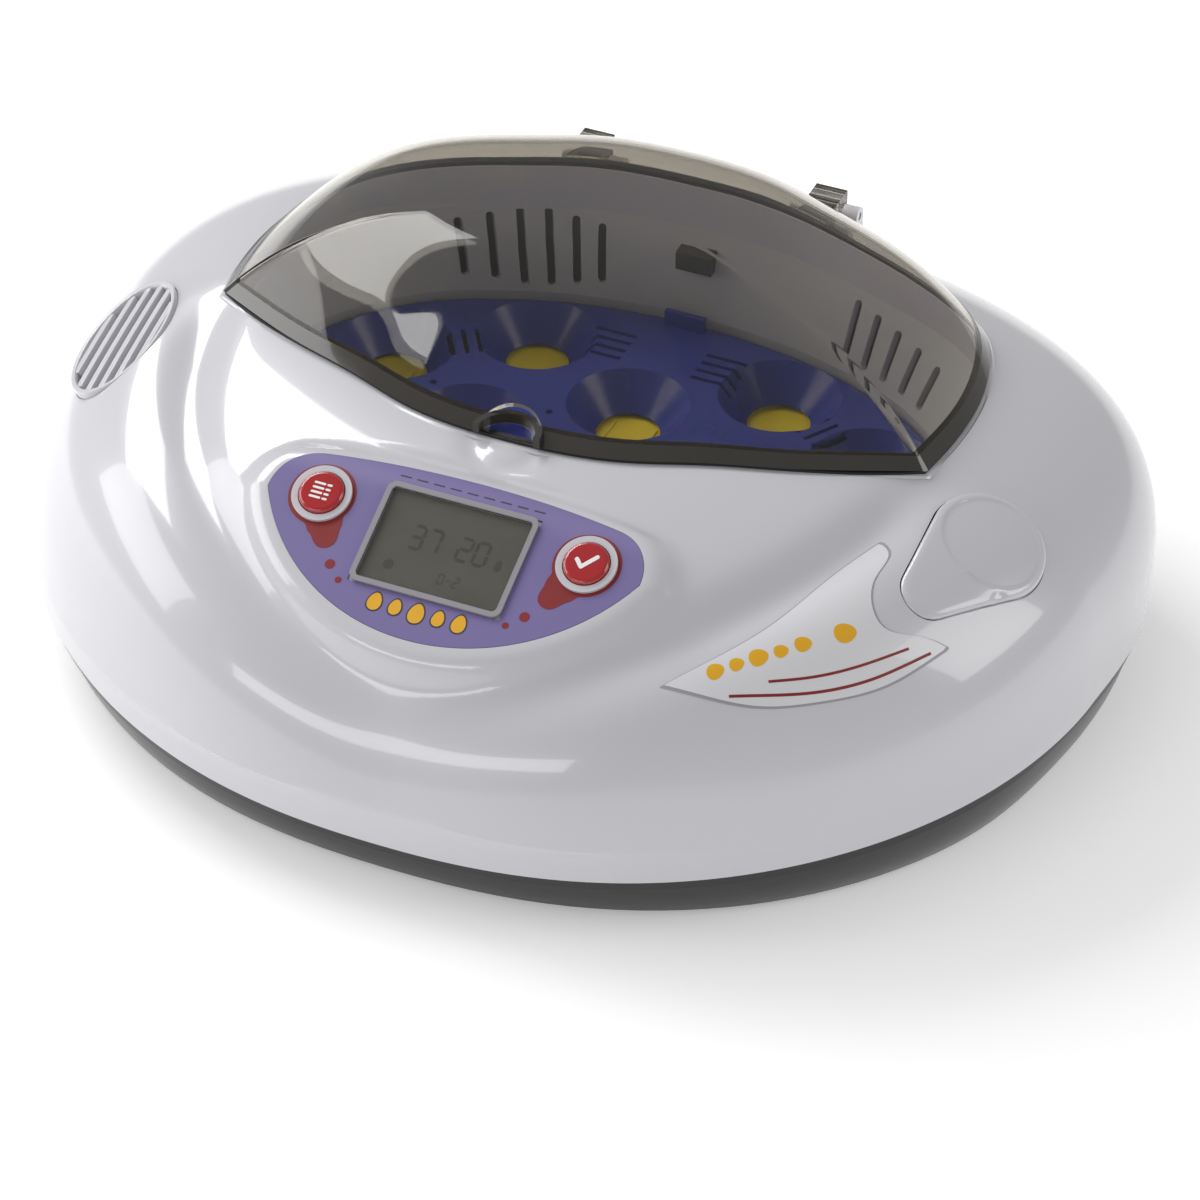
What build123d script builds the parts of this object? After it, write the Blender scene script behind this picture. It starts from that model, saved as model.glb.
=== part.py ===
from build123d import *
from math import acos, copysign, cos, hypot, pi, radians, sin, sqrt, tan
import os

# Tabletop egg incubator. Units are millimetres. X runs to the right, -Y is the front with the
# control panel, +Z is up, and the origin is the centre of the footprint on the table.

os.makedirs("parts", exist_ok=True)

# ---- driving dimensions: outer hull ----
HALF_WIDTH = 200.0          # half width of the hull where it is widest
HALF_DEPTH = 153.5          # half depth of the hull
PLAN_CENTRE_Y = -1.0        # middle of the plan outline
PLAN_POWER = 2.37           # squareness of the plan outline (2 would be an ellipse)
EGG = 0.15                  # how much wider the plan is towards the back
SIDE_TOP = 36.0             # height where the upright side starts to curve over
DOME_HEIGHT = 80.0          # height of the curved part above SIDE_TOP
PROFILE_OUT = 3.09          # exponents of the profile curve
PROFILE_UP = 3.08
BACK_SHIFT = 19.3           # how far the top leans towards the back
SEAM_FRONT = 20.0           # height of the seam between base and housing at the middle
SEAM_RISE = 11.65           # how much the seam rises towards both sides
WALL = 2.5                  # wall thickness of the mouldings
RING_STEPS = 28             # points on one plan outline
HULL_LOW = 8.0              # where the hull solids start, hidden below the seam

# ---- window ----
RIM_CORNER = (134.0, 5.0)
RIM_MIDDLE_Z = 114.4        # rim height on the centre line
RIM_DROP = 7.4              # how much lower the rim lies at the corners
WINDOW_TOP = 146.2
WINDOW_LAST = 0.955         # share of the dome's height at which its flat top cap starts
WINDOW_CENTRE_Y = 62.0
WINDOW_POWER = 4.2
WINDOW_LEAN = 1.2           # steeper at the back, softer at the front
WINDOW_EASE = 0.1           # softer where the rim is higher, for each millimetre
WINDOW_WALL = 2.2
SEAL_HEIGHT = 1.2
GRIP_XY = (0.0, -46.0)      # centre of the finger notch in the front edge
GRIP_R = 12.5
GRIP_WALL = 2.4
GRIP_TOP = 7.5              # how far the notch wall stands above the rim
HINGE_Y = 134.5
HINGE_Z = 113.0
HINGE_X = 46.0

# ---- control panel ----
PANEL_TILT = 25.7
PANEL_ORIGIN = (0.0, -95.5, 104.0)
LCD_W = 52.0
LCD_H = 35.5
BOARD_POINTS = [(-33, 16), (33, 16), (-44, -16), (44, -16)]
BUTTON_U = 49.0
BUTTON_V = 8.0
BUTTON_R = 8.0             # red key cap
RING_R = 10.6              # fixed white ring around a key
PANEL_BEND_V = 14.0        # where the panel surface starts to bend back towards the top
PANEL_BEND_R = 28.0

CURB_LOW = 96.0             # where the wall around the opening meets the chamber liner

# ---- egg chamber ----
TRAY_CENTRE_Y = 33.0
TRAY_HALF_W = 129.0
TRAY_HALF_D = 84.0
TRAY_TOP = 63.0
TRAY_LOW = 46.0
CUP_TOP_R = 22.5
CUP_HOLE_R = 11.5
CUP_FLOOR = 50.5
CUPS = [(-48, 86), (48, 86), (-93, 59), (0, 59), (93, 59),
        (-48, 27), (48, 27), (-93, -5), (0, -5), (93, -5)]
LINER_LOW = 57.0
LINER_BEND = 64.5
PLATE_TOP = 49.3
PLATE_THICK = 3.0
PLATE_TRAVEL = 10.0

# ---- rack drive ----
GEAR_MODULE = 1.0
GEAR_TEETH = 20
BACKLASH = 0.24
PINION_Y = -36.0
PRESSURE = radians(20)
GEAR_WIDTH = 3.2
PLATE_LOW = PLATE_TOP - PLATE_THICK - 0.5
PINION_Z = PLATE_LOW - 3.6
RACK_LINE = PINION_Y + GEAR_MODULE * GEAR_TEETH / 2

# ---- side fittings ----
FILLER_XY = (163.0, -10.0)
VENT_XY = (-163.0, -18.0)
POWER_BOARD_XY = (146.0, 52.0)
FAN_XY = (-157.0, -10.0)
FAN_SIZE = 36.0
FAN_Z = 66.0
FAN_H = 10.0


def save(shape, name):
    shape.label = name
    export_step(shape, f"parts/{name}.step")


def power(value, exponent):
    return copysign(abs(value) ** exponent, value)


def profile_scale(z):
    """Share of the plan outline that the hull has at height z."""
    t = (z - SIDE_TOP) / DOME_HEIGHT
    return 1.0 if t <= 0 else max(1e-6, 1 - t ** PROFILE_UP) ** (1 / PROFILE_OUT)


def plan_shift(z):
    return BACK_SHIFT * max(0.0, (z - SIDE_TOP) / DOME_HEIGHT)


def plan_wire(scale, z, shift=0.0, grow=0.0):
    """Closed egg-shaped outline at height z, scaled and then grown outwards."""
    points = []
    for step in range(RING_STEPS):
        angle = 2 * pi * step / RING_STEPS
        c = cos(angle)
        s = sin(angle)
        x = HALF_WIDTH * scale * power(c, 2 / PLAN_POWER) * (1 + EGG * s)
        y = HALF_DEPTH * scale * power(s, 2 / PLAN_POWER) + shift + PLAN_CENTRE_Y
        nx = c * HALF_DEPTH
        ny = s * HALF_WIDTH
        length = hypot(nx, ny)
        points.append(Vector(x + grow * nx / length, y + grow * ny / length, z))
    return Wire([Edge.make_spline(points, periodic=True)])


def hull(grow=0.0):
    """Solid of the whole upper hull, grown outwards (or inwards when negative)."""
    wires = [plan_wire(1.0, HULL_LOW, grow=grow)]
    wires.append(plan_wire(1.0, (HULL_LOW + SIDE_TOP) / 2, grow=grow))
    for share in (0.0, 0.22, 0.42, 0.58, 0.71, 0.81, 0.89, 0.945, 0.985):
        z = SIDE_TOP + DOME_HEIGHT * share
        before = profile_scale(z - 0.5) * 175
        after = profile_scale(min(z + 0.5, SIDE_TOP + DOME_HEIGHT * 0.999)) * 175
        slope = before - after
        side = 1 / sqrt(1 + slope ** 2)
        wires.append(
            plan_wire(profile_scale(z), z + grow * slope * side, plan_shift(z), grow * side)
        )
    return Solid.make_loft(wires)


def inside_hull(x, y, z):
    scale = profile_scale(z)
    sy = (y - PLAN_CENTRE_Y - plan_shift(z)) / (HALF_DEPTH * scale)
    if abs(sy) >= 1:
        return False
    s = power(sy, PLAN_POWER / 2)
    c = sqrt(1 - s * s)
    return abs(x) < HALF_WIDTH * scale * c ** (2 / PLAN_POWER) * (1 + EGG * s)


def hull_z(x, y):
    low = 0.0
    high = SIDE_TOP + DOME_HEIGHT
    for _ in range(40):
        middle = (low + high) / 2
        if inside_hull(x, y, middle):
            low = middle
        else:
            high = middle
    return low


def hull_plane(x, y, towards):
    """Plane that touches the hull above (x, y), with its X axis pointing towards a plan direction."""
    step = 0.5
    dx = (hull_z(x + step, y) - hull_z(x - step, y)) / (2 * step)
    dy = (hull_z(x, y + step) - hull_z(x, y - step)) / (2 * step)
    normal = Vector(-dx, -dy, 1).normalized()
    along = Vector(towards[0], towards[1], 0)
    along = (along - normal * along.dot(normal)).normalized()
    return Plane(origin=(x, y, hull_z(x, y)), x_dir=along, z_dir=normal)


def seam_tool(gap):
    """Block above the bowed seam, as deep as the whole object."""
    reach = 230.0
    edge_z = SEAM_FRONT + SEAM_RISE * (reach / HALF_WIDTH) ** 2 + gap
    far_z = 160.0
    seam = ThreePointArc((-reach, edge_z), (0, SEAM_FRONT + gap), (reach, edge_z))
    rest = Polyline((reach, edge_z), (reach, far_z), (-reach, far_z), (-reach, edge_z))
    face = make_face(Plane.XZ * (seam + rest))
    return extrude(face, amount=400, both=True)


def rim_z(x):
    return RIM_MIDDLE_Z - RIM_DROP * min(abs(x) / RIM_CORNER[0], 1.1) ** 3


def rim_tool(gap):
    """Block above the bowed window rim."""
    points = [(x, rim_z(x) + gap) for x in (-170, -134, -90, -45, 0, 45, 90, 134, 170)]
    far_z = 260.0
    face = make_face(
        Plane.XZ * (Spline(*points) + Polyline(points[-1], (170, far_z), (-170, far_z), points[0]))
    )
    return extrude(face, amount=300, both=True)


def rim_point(x, y, inset):
    return x * (1 - inset / 137), 42 + (y - 42) * (1 - inset / 87)


def window_sides():
    """Points of the window's outline: a shallow V in front and one long curve at the back."""
    corner_x, corner_y = RIM_CORNER
    front = [(-corner_x, corner_y), (-90, -20), (-67, -29), (-40, -40), (0, -45)]
    back = [(corner_x, corner_y), (137, 39), (135, 60), (125, 86), (100, 104.5), (73, 115.5),
            (45, 125)]
    front = front + [(-x, y) for x, y in reversed(front[:-1])]
    back = back + [(0, 129)] + [(-x, y) for x, y in reversed(back)]
    return front, back


def window_wire(z, inset=0.0):
    edges = []
    for side in window_sides():
        moved = [rim_point(x, y, inset) for x, y in side]
        edges.append(Edge.make_spline([Vector(x, y, z) for x, y in moved]))
    return Wire(edges)


def window_ring(share, inset, top):
    """Outline of the dome at a share of its height: it starts on the bowed rim and ends level."""
    edges = []
    for side in window_sides():
        points = []
        for x, y in side:
            start = rim_z(x) + SEAL_HEIGHT
            dy = y - WINDOW_CENTRE_Y
            power_here = WINDOW_POWER + WINDOW_LEAN * dy / hypot(x, dy)
            power_here -= WINDOW_EASE * (start - SEAL_HEIGHT - RIM_MIDDLE_Z + RIM_DROP)
            scale = (1 - share) ** (1 / power_here)
            px, py = rim_point(x * scale, WINDOW_CENTRE_Y + dy * scale, inset)
            points.append(Vector(px, py, start + (top - start) * share / WINDOW_LAST))
        edges.append(Edge.make_spline(points))
    return Wire(edges)


def window_block(inset, low, high):
    return extrude(Face(window_wire(low, inset)), amount=high - low, dir=(0, 0, 1))


def chamber_wire(z, grow=0.0, split=14.0):
    """Outline of the egg tray and its surrounding wall: an ellipse behind, squarer in front."""
    edges = []
    for start, end in ((180 + split, 360 - split), (-split, 180 + split)):
        points = []
        for step in range(13):
            angle = radians(start + (end - start) * step / 12)
            c = cos(angle)
            s = sin(angle)
            bend = 1.0 if s > 0 else 2 / 3
            x = (TRAY_HALF_W + grow) * power(c, bend)
            y = (TRAY_HALF_D + grow) * power(s, bend) + TRAY_CENTRE_Y
            points.append(Vector(x, y, z))
        edges.append(Edge.make_spline(points))
    return Wire(edges)


def chamber_block(grow, low, high):
    return extrude(Face(chamber_wire(low, grow)), amount=high - low, dir=(0, 0, 1))


def drop_outline(grow=0.0):
    """Drop shape: a big round end, a small round tip and two tangent sides."""
    big = 21.0 + grow
    small = 10.0 + grow
    reach = 33.0
    lean = acos((big - small) / reach)
    a = (big * cos(lean), big * sin(lean))
    b = (reach + small * cos(lean), small * sin(lean))
    edges = ThreePointArc(a, (-big, 0), (a[0], -a[1]))
    edges += Line((a[0], -a[1]), (b[0], -b[1]))
    edges += ThreePointArc((b[0], -b[1]), (reach + small, 0), b)
    edges += Line(b, a)
    return make_face(edges)


def panel_outline(grow=0.0):
    """Flat-topped shield of four arcs: top, two shoulders and one deep lower arc."""
    side = 68.7 + grow
    shoulder = (54 + grow * 0.7, 24 + grow)
    top = ThreePointArc((-shoulder[0], shoulder[1]), (0, 28.7 + grow), shoulder)
    right = ThreePointArc(shoulder, (65.2 + grow, 17.2 + grow * 0.5), (side, 6))
    low = ThreePointArc((side, 6), (0, -35.3 - grow), (-side, 6))
    left = ThreePointArc((-side, 6), (-65.2 - grow, 17.2 + grow * 0.5), (-shoulder[0], shoulder[1]))
    return make_face(top + right + low + left)


def below_panel(height):
    """Everything below the panel surface raised by height: flat, then bent back to the top."""
    radius = PANEL_BEND_R + height
    points = []
    for angle in (0, 22, 44):
        along = PANEL_BEND_V + radius * sin(radians(angle))
        points.append((along, radius * cos(radians(angle)) - PANEL_BEND_R))
    end = points[2][0]
    rest = Polyline(points[2], (end, -30), (-60, -30), (-60, height), points[0])
    side_plane = Plane(origin=PANEL_ORIGIN, x_dir=panel.y_dir, z_dir=(1, 0, 0))
    return extrude(side_plane * make_face(ThreePointArc(*points) + rest), amount=90, both=True)


def slab(plane, sketch, low, high):
    """Sketch on a plane, thick from low to high along the plane's normal."""
    return extrude(plane.offset(low) * sketch, amount=high - low)


def screw(plane, radius=3.0, length=12.0, shank=1.5):
    head = extrude(plane * Circle(radius), amount=1.8)
    slot = extrude(plane.offset(1.0) * Rectangle(radius * 1.5, 0.8), amount=1.0)
    return head - slot + extrude(plane * Circle(shank), amount=-length)


panel = Plane(
    origin=PANEL_ORIGIN,
    x_dir=(1, 0, 0),
    z_dir=(0, -sin(radians(PANEL_TILT)), cos(radians(PANEL_TILT))),
)
filler_plane = hull_plane(*FILLER_XY, (-12, -40))
vent_plane = hull_plane(*VENT_XY, (0, 1))
hull_outer = hull()
hull_inner = hull(-WALL)


# ---------------- base ----------------
FOOT_HEIGHT = 3.0
FOOT_XY = [(-125, -78), (125, -78), (-125, 92), (125, 92)]
BASE_SCALE_LOW = 0.945
BASE_SCALE_SEAM = 0.988
POST_XY = [(-104, 42), (104, 42), (-62, -34), (62, -34)]
FRAME_Z = 42.0
FRAME_THICK = 2.5
RAIL_TOP = 45.6
FLOOR_TOP = 6.0
WATER_PAN_XY = (-4, 42)


def base_body(grow, low):
    """Tapered body of the base, before the seam cuts it."""
    wires = []
    for z, scale in ((low, BASE_SCALE_LOW), (14, 0.972), (24, 0.983), (40, BASE_SCALE_SEAM)):
        wires.append(plan_wire(scale, z, grow=grow))
    return Solid.make_loft(wires)


def make_base_tub():
    tub = base_body(0, FOOT_HEIGHT) - base_body(-WALL, FOOT_HEIGHT + 3)
    tub = tub - seam_tool(-0.35)
    tongue = hull(-WALL - 0.7) - hull(-WALL - 2.5)
    tongue = (tongue & seam_tool(-4.0)) - seam_tool(3.5)
    ledge = hull(-1.5) - hull(-WALL - 2.5)
    ledge = (ledge & seam_tool(-4.0)) - seam_tool(-0.35)
    tub = tub + tongue + ledge
    for x, y in POST_XY:
        tub += Pos(x, y, FOOT_HEIGHT + 1) * extrude(Circle(6), amount=FRAME_Z - FOOT_HEIGHT - 1)
    jack_hole = Pos(70, 140, 14) * Rot(90, 0, 0) * Cylinder(5.6, 60)
    tub = tub - jack_hole
    for x, y in FOOT_XY:
        tub = tub - Pos(x, y, FOOT_HEIGHT + 0.5) * Cylinder(2.0, 8)
    for x, y in POST_XY:
        tub = tub - Pos(x, y, FRAME_Z) * Cylinder(1.5, 18)
    for step in range(9):
        tub = tub - Pos(-40 + step * 10, -60, FOOT_HEIGHT + 1) * Box(4, 26, 12)
    return tub


def make_feet():
    feet = []
    for x, y in FOOT_XY:
        foot = Pos(x, y, FOOT_HEIGHT / 2) * Cylinder(9, FOOT_HEIGHT)
        foot = fillet(foot.edges().group_by(Axis.Z)[0], 0.8)
        stem = Pos(x, y, FOOT_HEIGHT + 2) * Cylinder(1.9, 4)
        feet.append(foot + stem)
    return Compound(children=feet)


def water_tray_block(wall, height):
    """Pan under the chamber with an arm that reaches below the filler tube."""
    pan = Pos(*WATER_PAN_XY) * RectangleRounded(176 + 2 * wall, 112 + 2 * wall, 22)
    arm = Pos(122, -3) * RectangleRounded(92 + 2 * wall, 20 + 2 * wall, 6)
    return extrude(pan + arm, amount=height)


def make_water_tray():
    tray = water_tray_block(0, 16) - Pos(0, 0, 1.6) * water_tray_block(-1.6, 20)
    tray += Pos(0, 0, 14.4) * (water_tray_block(2, 1.6) - Pos(0, 0, -1) * water_tray_block(-1.6, 4))
    for step in range(3):
        fin = Box(120, 1.6, 12, align=(Align.CENTER, Align.CENTER, Align.MIN))
        tray += Pos(WATER_PAN_XY[0], 12 + step * 30, 1.0) * fin
    return Pos(0, 0, FLOOR_TOP + 0.2) * tray


def make_tray_frame():
    """Open frame on the posts that carries the turning plate and the egg tray."""
    top = FRAME_Z + FRAME_THICK
    frame = chamber_block(-1.0, FRAME_Z, top) - chamber_block(-20, FRAME_Z - 1, top + 1)
    frame += chamber_block(-1.0, top, TRAY_LOW) - chamber_block(-2.4, FRAME_Z, TRAY_LOW + 1)
    rail = Box(216, 9, RAIL_TOP - FRAME_Z, align=(Align.CENTER, Align.CENTER, Align.MIN))
    for y in (12, 76):
        frame += Pos(0, y, FRAME_Z) * rail
    pad = Box(30, 16, FRAME_THICK, align=(Align.CENTER, Align.CENTER, Align.MIN))
    for x, y in POST_XY:
        frame += Pos(x, y, FRAME_Z) * pad
    for x, y in POST_XY:
        frame = frame - Pos(x, y, FRAME_Z) * Cylinder(1.6, 20)
        frame = frame - Pos(x, y, FRAME_Z + 0.9) * extrude(Circle(2.8), amount=9)
    return frame - Pos(0, PINION_Y, FRAME_Z) * Cylinder(12.5, 20)


def make_egg_tray():
    """Moulded tray with ten funnel-shaped cups that are open at the bottom."""
    body = chamber_block(0, TRAY_LOW, TRAY_TOP)
    body = fillet(body.edges().group_by(Axis.Z)[-1], 3.0)
    hollow = chamber_block(-2.2, FRAME_Z, TRAY_TOP - 2.2)
    cups = []
    bores = []
    for x, y in CUPS:
        cone = Solid.make_cone(CUP_HOLE_R + 2, CUP_TOP_R + 1.6, TRAY_TOP - CUP_FLOOR)
        bore = Solid.make_cone(CUP_HOLE_R, CUP_TOP_R, TRAY_TOP - CUP_FLOOR + 0.2)
        cups.append(Pos(x, y, CUP_FLOOR) * cone)
        bores.append(Pos(x, y, CUP_FLOOR - 0.1) * bore)
    tray = body - hollow
    for cup in cups:
        tray += cup & body
    for bore in bores:
        tray = tray - bore
    for side in (-1, 1):
        for step in range(5):
            slot = Pos(side * (66 + step * 4.2), 74 - step * 3, TRAY_TOP) * Rot(0, 0, side * -32)
            tray = tray - slot * Box(1.8, 15, 12)
        for step in range(4):
            tray = tray - Pos(side * 22, 84 + step * 5, TRAY_TOP) * Box(16, 1.8, 12)
    for x, y in [(-24, 43), (24, 43), (-70, 43), (70, 43), (-24, 11), (24, 11), (-70, 11), (70, 11)]:
        tray = tray - Pos(x, y, TRAY_TOP) * Cylinder(1.3, 12)
    tab = Pos(0, 112, TRAY_TOP + 1.5) * Box(16, 2.2, 9)
    return tray + tab


def gear_outline():
    """Involute gear outline: each flank is a few points of the involute of the base circle."""
    pitch = GEAR_MODULE * GEAR_TEETH / 2
    base = pitch * cos(PRESSURE)
    tip = pitch + GEAR_MODULE * 0.95
    root = pitch - GEAR_MODULE * 1.25
    half_tooth = (pi * GEAR_MODULE - BACKLASH) / (4 * pitch)
    outline = []
    for tooth in range(GEAR_TEETH):
        middle = pi / 2 + 2 * pi * tooth / GEAR_TEETH
        flank = [(root, half_tooth + tan(PRESSURE) - PRESSURE)]
        for step in range(5):
            radius = base + (tip - base) * step / 4
            press = acos(base / radius)
            roll = tan(press) - press
            flank.append((radius, half_tooth + tan(PRESSURE) - PRESSURE - roll))
        for radius, offset in flank:
            outline.append((radius * cos(middle - offset), radius * sin(middle - offset)))
        for radius, offset in reversed(flank):
            outline.append((radius * cos(middle + offset), radius * sin(middle + offset)))
    return outline


def make_pinion():
    gear = extrude(make_face(Polyline(*gear_outline(), close=True)), amount=GEAR_WIDTH)
    gear = gear + Pos(0, 0, -9) * extrude(Circle(3.6), amount=9)
    gear = gear - Pos(0, 0, -9.5) * extrude(Circle(1.55), amount=12)
    return Pos(0, PINION_Y, PINION_Z) * gear


def make_turning_plate():
    """Flat ribbed plate under the cups; it stays inside the tray's skirt at both ends of its travel."""
    reach = PLATE_TRAVEL + 1.0
    plate = Pos(reach, 0, 0) * chamber_block(-3.4, 0, PLATE_THICK)
    plate = plate & Pos(-reach, 0, 0) * chamber_block(-3.4, 0, PLATE_THICK)
    plate = plate - Pos(0, -76, 0) * Box(300, 100, 20)
    for x in (-72, 0, 72):
        plate = plate - Pos(x, 43, -1) * extrude(SlotOverall(34, 7), amount=10)
    rib = Box(1.2, 84, 0.5, align=(Align.CENTER, Align.CENTER, Align.MIN))
    for step in range(12):
        plate += Pos(-88 + step * 16, 24, PLATE_THICK) * rib
    return Pos(0, 0, PLATE_LOW) * plate


def make_turning_rack():
    """Straight rack under the front edge of the plate."""
    half_pitch = pi * GEAR_MODULE / 2
    count = 17
    lean = tan(PRESSURE)
    top = GEAR_MODULE * 0.95
    low = GEAR_MODULE * 1.25
    half = half_pitch / 2 - BACKLASH / 4
    points = []
    for tooth in range(-(count // 2), count // 2 + 1):
        x = tooth * 2 * half_pitch + half_pitch
        points.append((x - half - low * lean, low))
        points.append((x - half + top * lean, -top))
        points.append((x + half - top * lean, -top))
        points.append((x + half + low * lean, low))
    left = points[0][0] - 1
    right = points[-1][0] + 1
    outline = [(left, 7), (left, low)] + points + [(right, low), (right, 7)]
    face = make_face(Polyline(*outline, close=True))
    return Pos(0, RACK_LINE, PLATE_LOW) * extrude(face, amount=-3.5)


def make_turning_motor():
    """Round geared motor hung under the frame, with its output shaft."""
    motor = Pos(0, PINION_Y - 8, 16) * extrude(Circle(22), amount=16)
    motor += Pos(0, PINION_Y, 32) * extrude(Circle(3), amount=1.0)
    motor += Pos(0, PINION_Y, 32) * extrude(Circle(1.5), amount=PINION_Z - 32 + 1)
    for side in (-1, 1):
        motor += Pos(side * 22.5, PINION_Y - 8, 32) * Box(8, 8, 2)
    motor += Pos(0, PINION_Y - 32, 24) * Box(14, 8, 8)
    return motor


def make_motor_bracket():
    """Bent strap between the floor and the motor's ears."""
    parts = []
    for side in (-1, 1):
        foot = Pos(side * 33, PINION_Y - 8, FLOOR_TOP + 0.8) * Box(14, 12, 1.6)
        leg = Pos(side * 27.5, PINION_Y - 8, FLOOR_TOP + 14.3) * Box(1.6, 12, 28.6)
        arm = Pos(side * 24.6, PINION_Y - 8, 33.8) * Box(7.4, 12, 1.6)
        parts.append(foot + leg + arm)
    return Compound(children=parts)


# ---------------- upper housing ----------------
def panel_holes():
    cut = slab(panel, Rectangle(LCD_W + 0.6, LCD_H + 0.6), -30, 10)
    for side in (-1, 1):
        cut += slab(panel, Pos(side * BUTTON_U, BUTTON_V) * Circle(RING_R + 0.05), -30, 10)
    return cut


def make_housing():
    shell = hull_outer - hull_inner
    curb = (window_block(-1.6, CURB_LOW, 130) - window_block(3.4, 90, 140)) - rim_tool(0)
    bed = slab(panel, panel_outline(3.0), -6.5, 6) & below_panel(-0.4)
    shell = shell + bed
    for u, v in BOARD_POINTS:
        boss = slab(panel, Pos(u, v) * Circle(3.5), -12.9, -3.0) & hull_outer
        shell = shell + boss - slab(panel, Pos(u, v) * Circle(1.3), -13.5, -9.0)
    shell = shell - window_block(3.4, 70, 200) + curb
    shell = shell - (window_block(-0.4, 96, 140) & rim_tool(0))
    shell = shell & seam_tool(0.35)
    shell = shell - panel_holes()
    shell = shell - (slab(panel, panel_outline(3.0), -8, 8) - below_panel(-0.4))
    shell = shell - (slab(panel, panel_outline(0.15), -8, 8) - below_panel(-0.8))
    recess = slab(filler_plane, drop_outline(0.35), -12, 12) - hull(-1.2)
    shell = shell - recess
    shell = shell - slab(filler_plane, Circle(8.0), -10, 10)
    shell = shell - slab(vent_plane, vent_outline(0.12), -9, 9)
    return shell


def vent_outline(grow=0.0):
    """Oval with one fuller corner, long axis along the local X axis."""
    return Ellipse(31 + grow, 18.5 + grow)


def make_vent_grille():
    plate = slab(vent_plane, vent_outline(), -8, 8) & (hull(0.5) - hull(-2.2))
    for row in range(5):
        offset = -12 + row * 6
        half = 28 * sqrt(1 - (offset / 18.5) ** 2)
        slot = Pos(0, offset) * SlotOverall(2 * half, 2.4)
        plate = plate - slab(vent_plane, slot, -9, 9)
    return plate


def make_liner():
    """Flared wall of the egg chamber, from the tray up to the window opening."""
    outer = chamber_block(3.2, LINER_LOW, LINER_BEND)
    outer += Solid.make_loft([chamber_wire(LINER_BEND, 3.2), window_wire(CURB_LOW, 1.0)])
    inner = chamber_block(1.2, LINER_LOW, LINER_BEND)
    inner += Solid.make_loft([chamber_wire(LINER_BEND, 1.2), window_wire(CURB_LOW, 3.4)])
    wall = outer - inner - Pos(0, 121, 86) * Box(14.2, 30, 7.2)
    for index in range(6):
        angle = 113 + index * 5.6
        wall = wall - liner_slot(angle, 66 + abs(index - 2.5) * 1.5, 97 - abs(index - 2.5) * 2.2)
    for index in range(5):
        angle = 50 - index * 5.0
        wall = wall - liner_slot(angle, 68, 92 - index * 1.5)
    return wall


def liner_slot(angle, low, high):
    """Upright slot with round ends, cut outwards from the chamber's centre."""
    reach = 200.0
    shape = Pos(0, (low + high) / 2) * Rot(0, 0, 90) * SlotOverall(high - low, 3.0)
    face = Plane(
        origin=(0, TRAY_CENTRE_Y, 0),
        x_dir=(-sin(radians(angle)), cos(radians(angle)), 0),
        z_dir=(cos(radians(angle)), sin(radians(angle)), 0),
    )
    return extrude(face * shape, amount=reach)


def make_window_seal():
    ring = window_block(0.5, 96, 130) - window_block(3.0, 90, 140)
    return (ring & rim_tool(0.02)) - rim_tool(SEAL_HEIGHT)


def window_dome(inset, low, top_inset):
    """Loft of window outlines that shrink towards the top."""
    wires = [window_wire(low, inset)]
    for share in (0.0, 0.1, 0.24, 0.4, 0.58, 0.74, 0.87, WINDOW_LAST):
        wires.append(window_ring(share, inset, WINDOW_TOP - top_inset))
    return Solid.make_loft(wires)


def make_window():
    dome = window_dome(0.0, 98, 0.0) - window_dome(WINDOW_WALL, 96, WINDOW_WALL)
    dome = dome & rim_tool(SEAL_HEIGHT + 0.3)
    notch = Pos(*GRIP_XY, 100) * extrude(Circle(GRIP_R), amount=60)
    floor = Pos(*GRIP_XY, 100) * extrude(Circle(GRIP_R - GRIP_WALL), amount=60)
    floor = floor & window_block(0.0, 100, 140)
    floor = (floor & rim_tool(SEAL_HEIGHT + 0.3)) - rim_tool(SEAL_HEIGHT + 1.9)
    return dome - notch + floor


def make_window_grip():
    """Half-round finger wall that borders the notch in the window's front edge."""
    ring = extrude(Circle(GRIP_R) - Circle(GRIP_R - GRIP_WALL), amount=40)
    ring = Pos(*GRIP_XY, 80) * ring
    ring = (ring & window_block(-1.0, 90, 130) & rim_tool(SEAL_HEIGHT + 0.3)) - rim_tool(GRIP_TOP)
    return ring - Pos(GRIP_XY[0], GRIP_XY[1] - 20, 110) * Box(60, 40, 80)


def make_hinge_lugs():
    """Pair of arms bonded to the window's back edge, each with an eye on the pin."""
    lugs = []
    for side in (-1, 1):
        eye = Pos(side * HINGE_X, HINGE_Y, HINGE_Z) * Rot(0, 90, 0) * Cylinder(3.4, 12)
        web = Pos(side * HINGE_X, HINGE_Y, HINGE_Z + 4) * Box(12, 6.8, 7)
        arm = Pos(side * HINGE_X, HINGE_Y - 7, HINGE_Z + 5.5) * Box(12, 20, 4)
        lug = (eye + web + arm) - window_dome(0.0, 98, 0.0)
        lugs.append(lug - Pos(side * HINGE_X, HINGE_Y, HINGE_Z) * Rot(0, 90, 0) * Cylinder(1.56, 40))
    return Compound(children=lugs)


def make_hinge_brackets():
    brackets = []
    for x in (-HINGE_X - 9.3, -HINGE_X + 9.3, HINGE_X - 9.3, HINGE_X + 9.3):
        eye = Pos(x, HINGE_Y, HINGE_Z) * Rot(0, 90, 0) * Cylinder(3.4, 6)
        web = Pos(x, HINGE_Y, HINGE_Z - 8) * Box(6, 6.8, 16)
        bracket = (eye + web) - hull_outer
        brackets.append(bracket - Pos(x, HINGE_Y, HINGE_Z) * Rot(0, 90, 0) * Cylinder(1.5, 40))
    return Compound(children=brackets)


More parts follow.
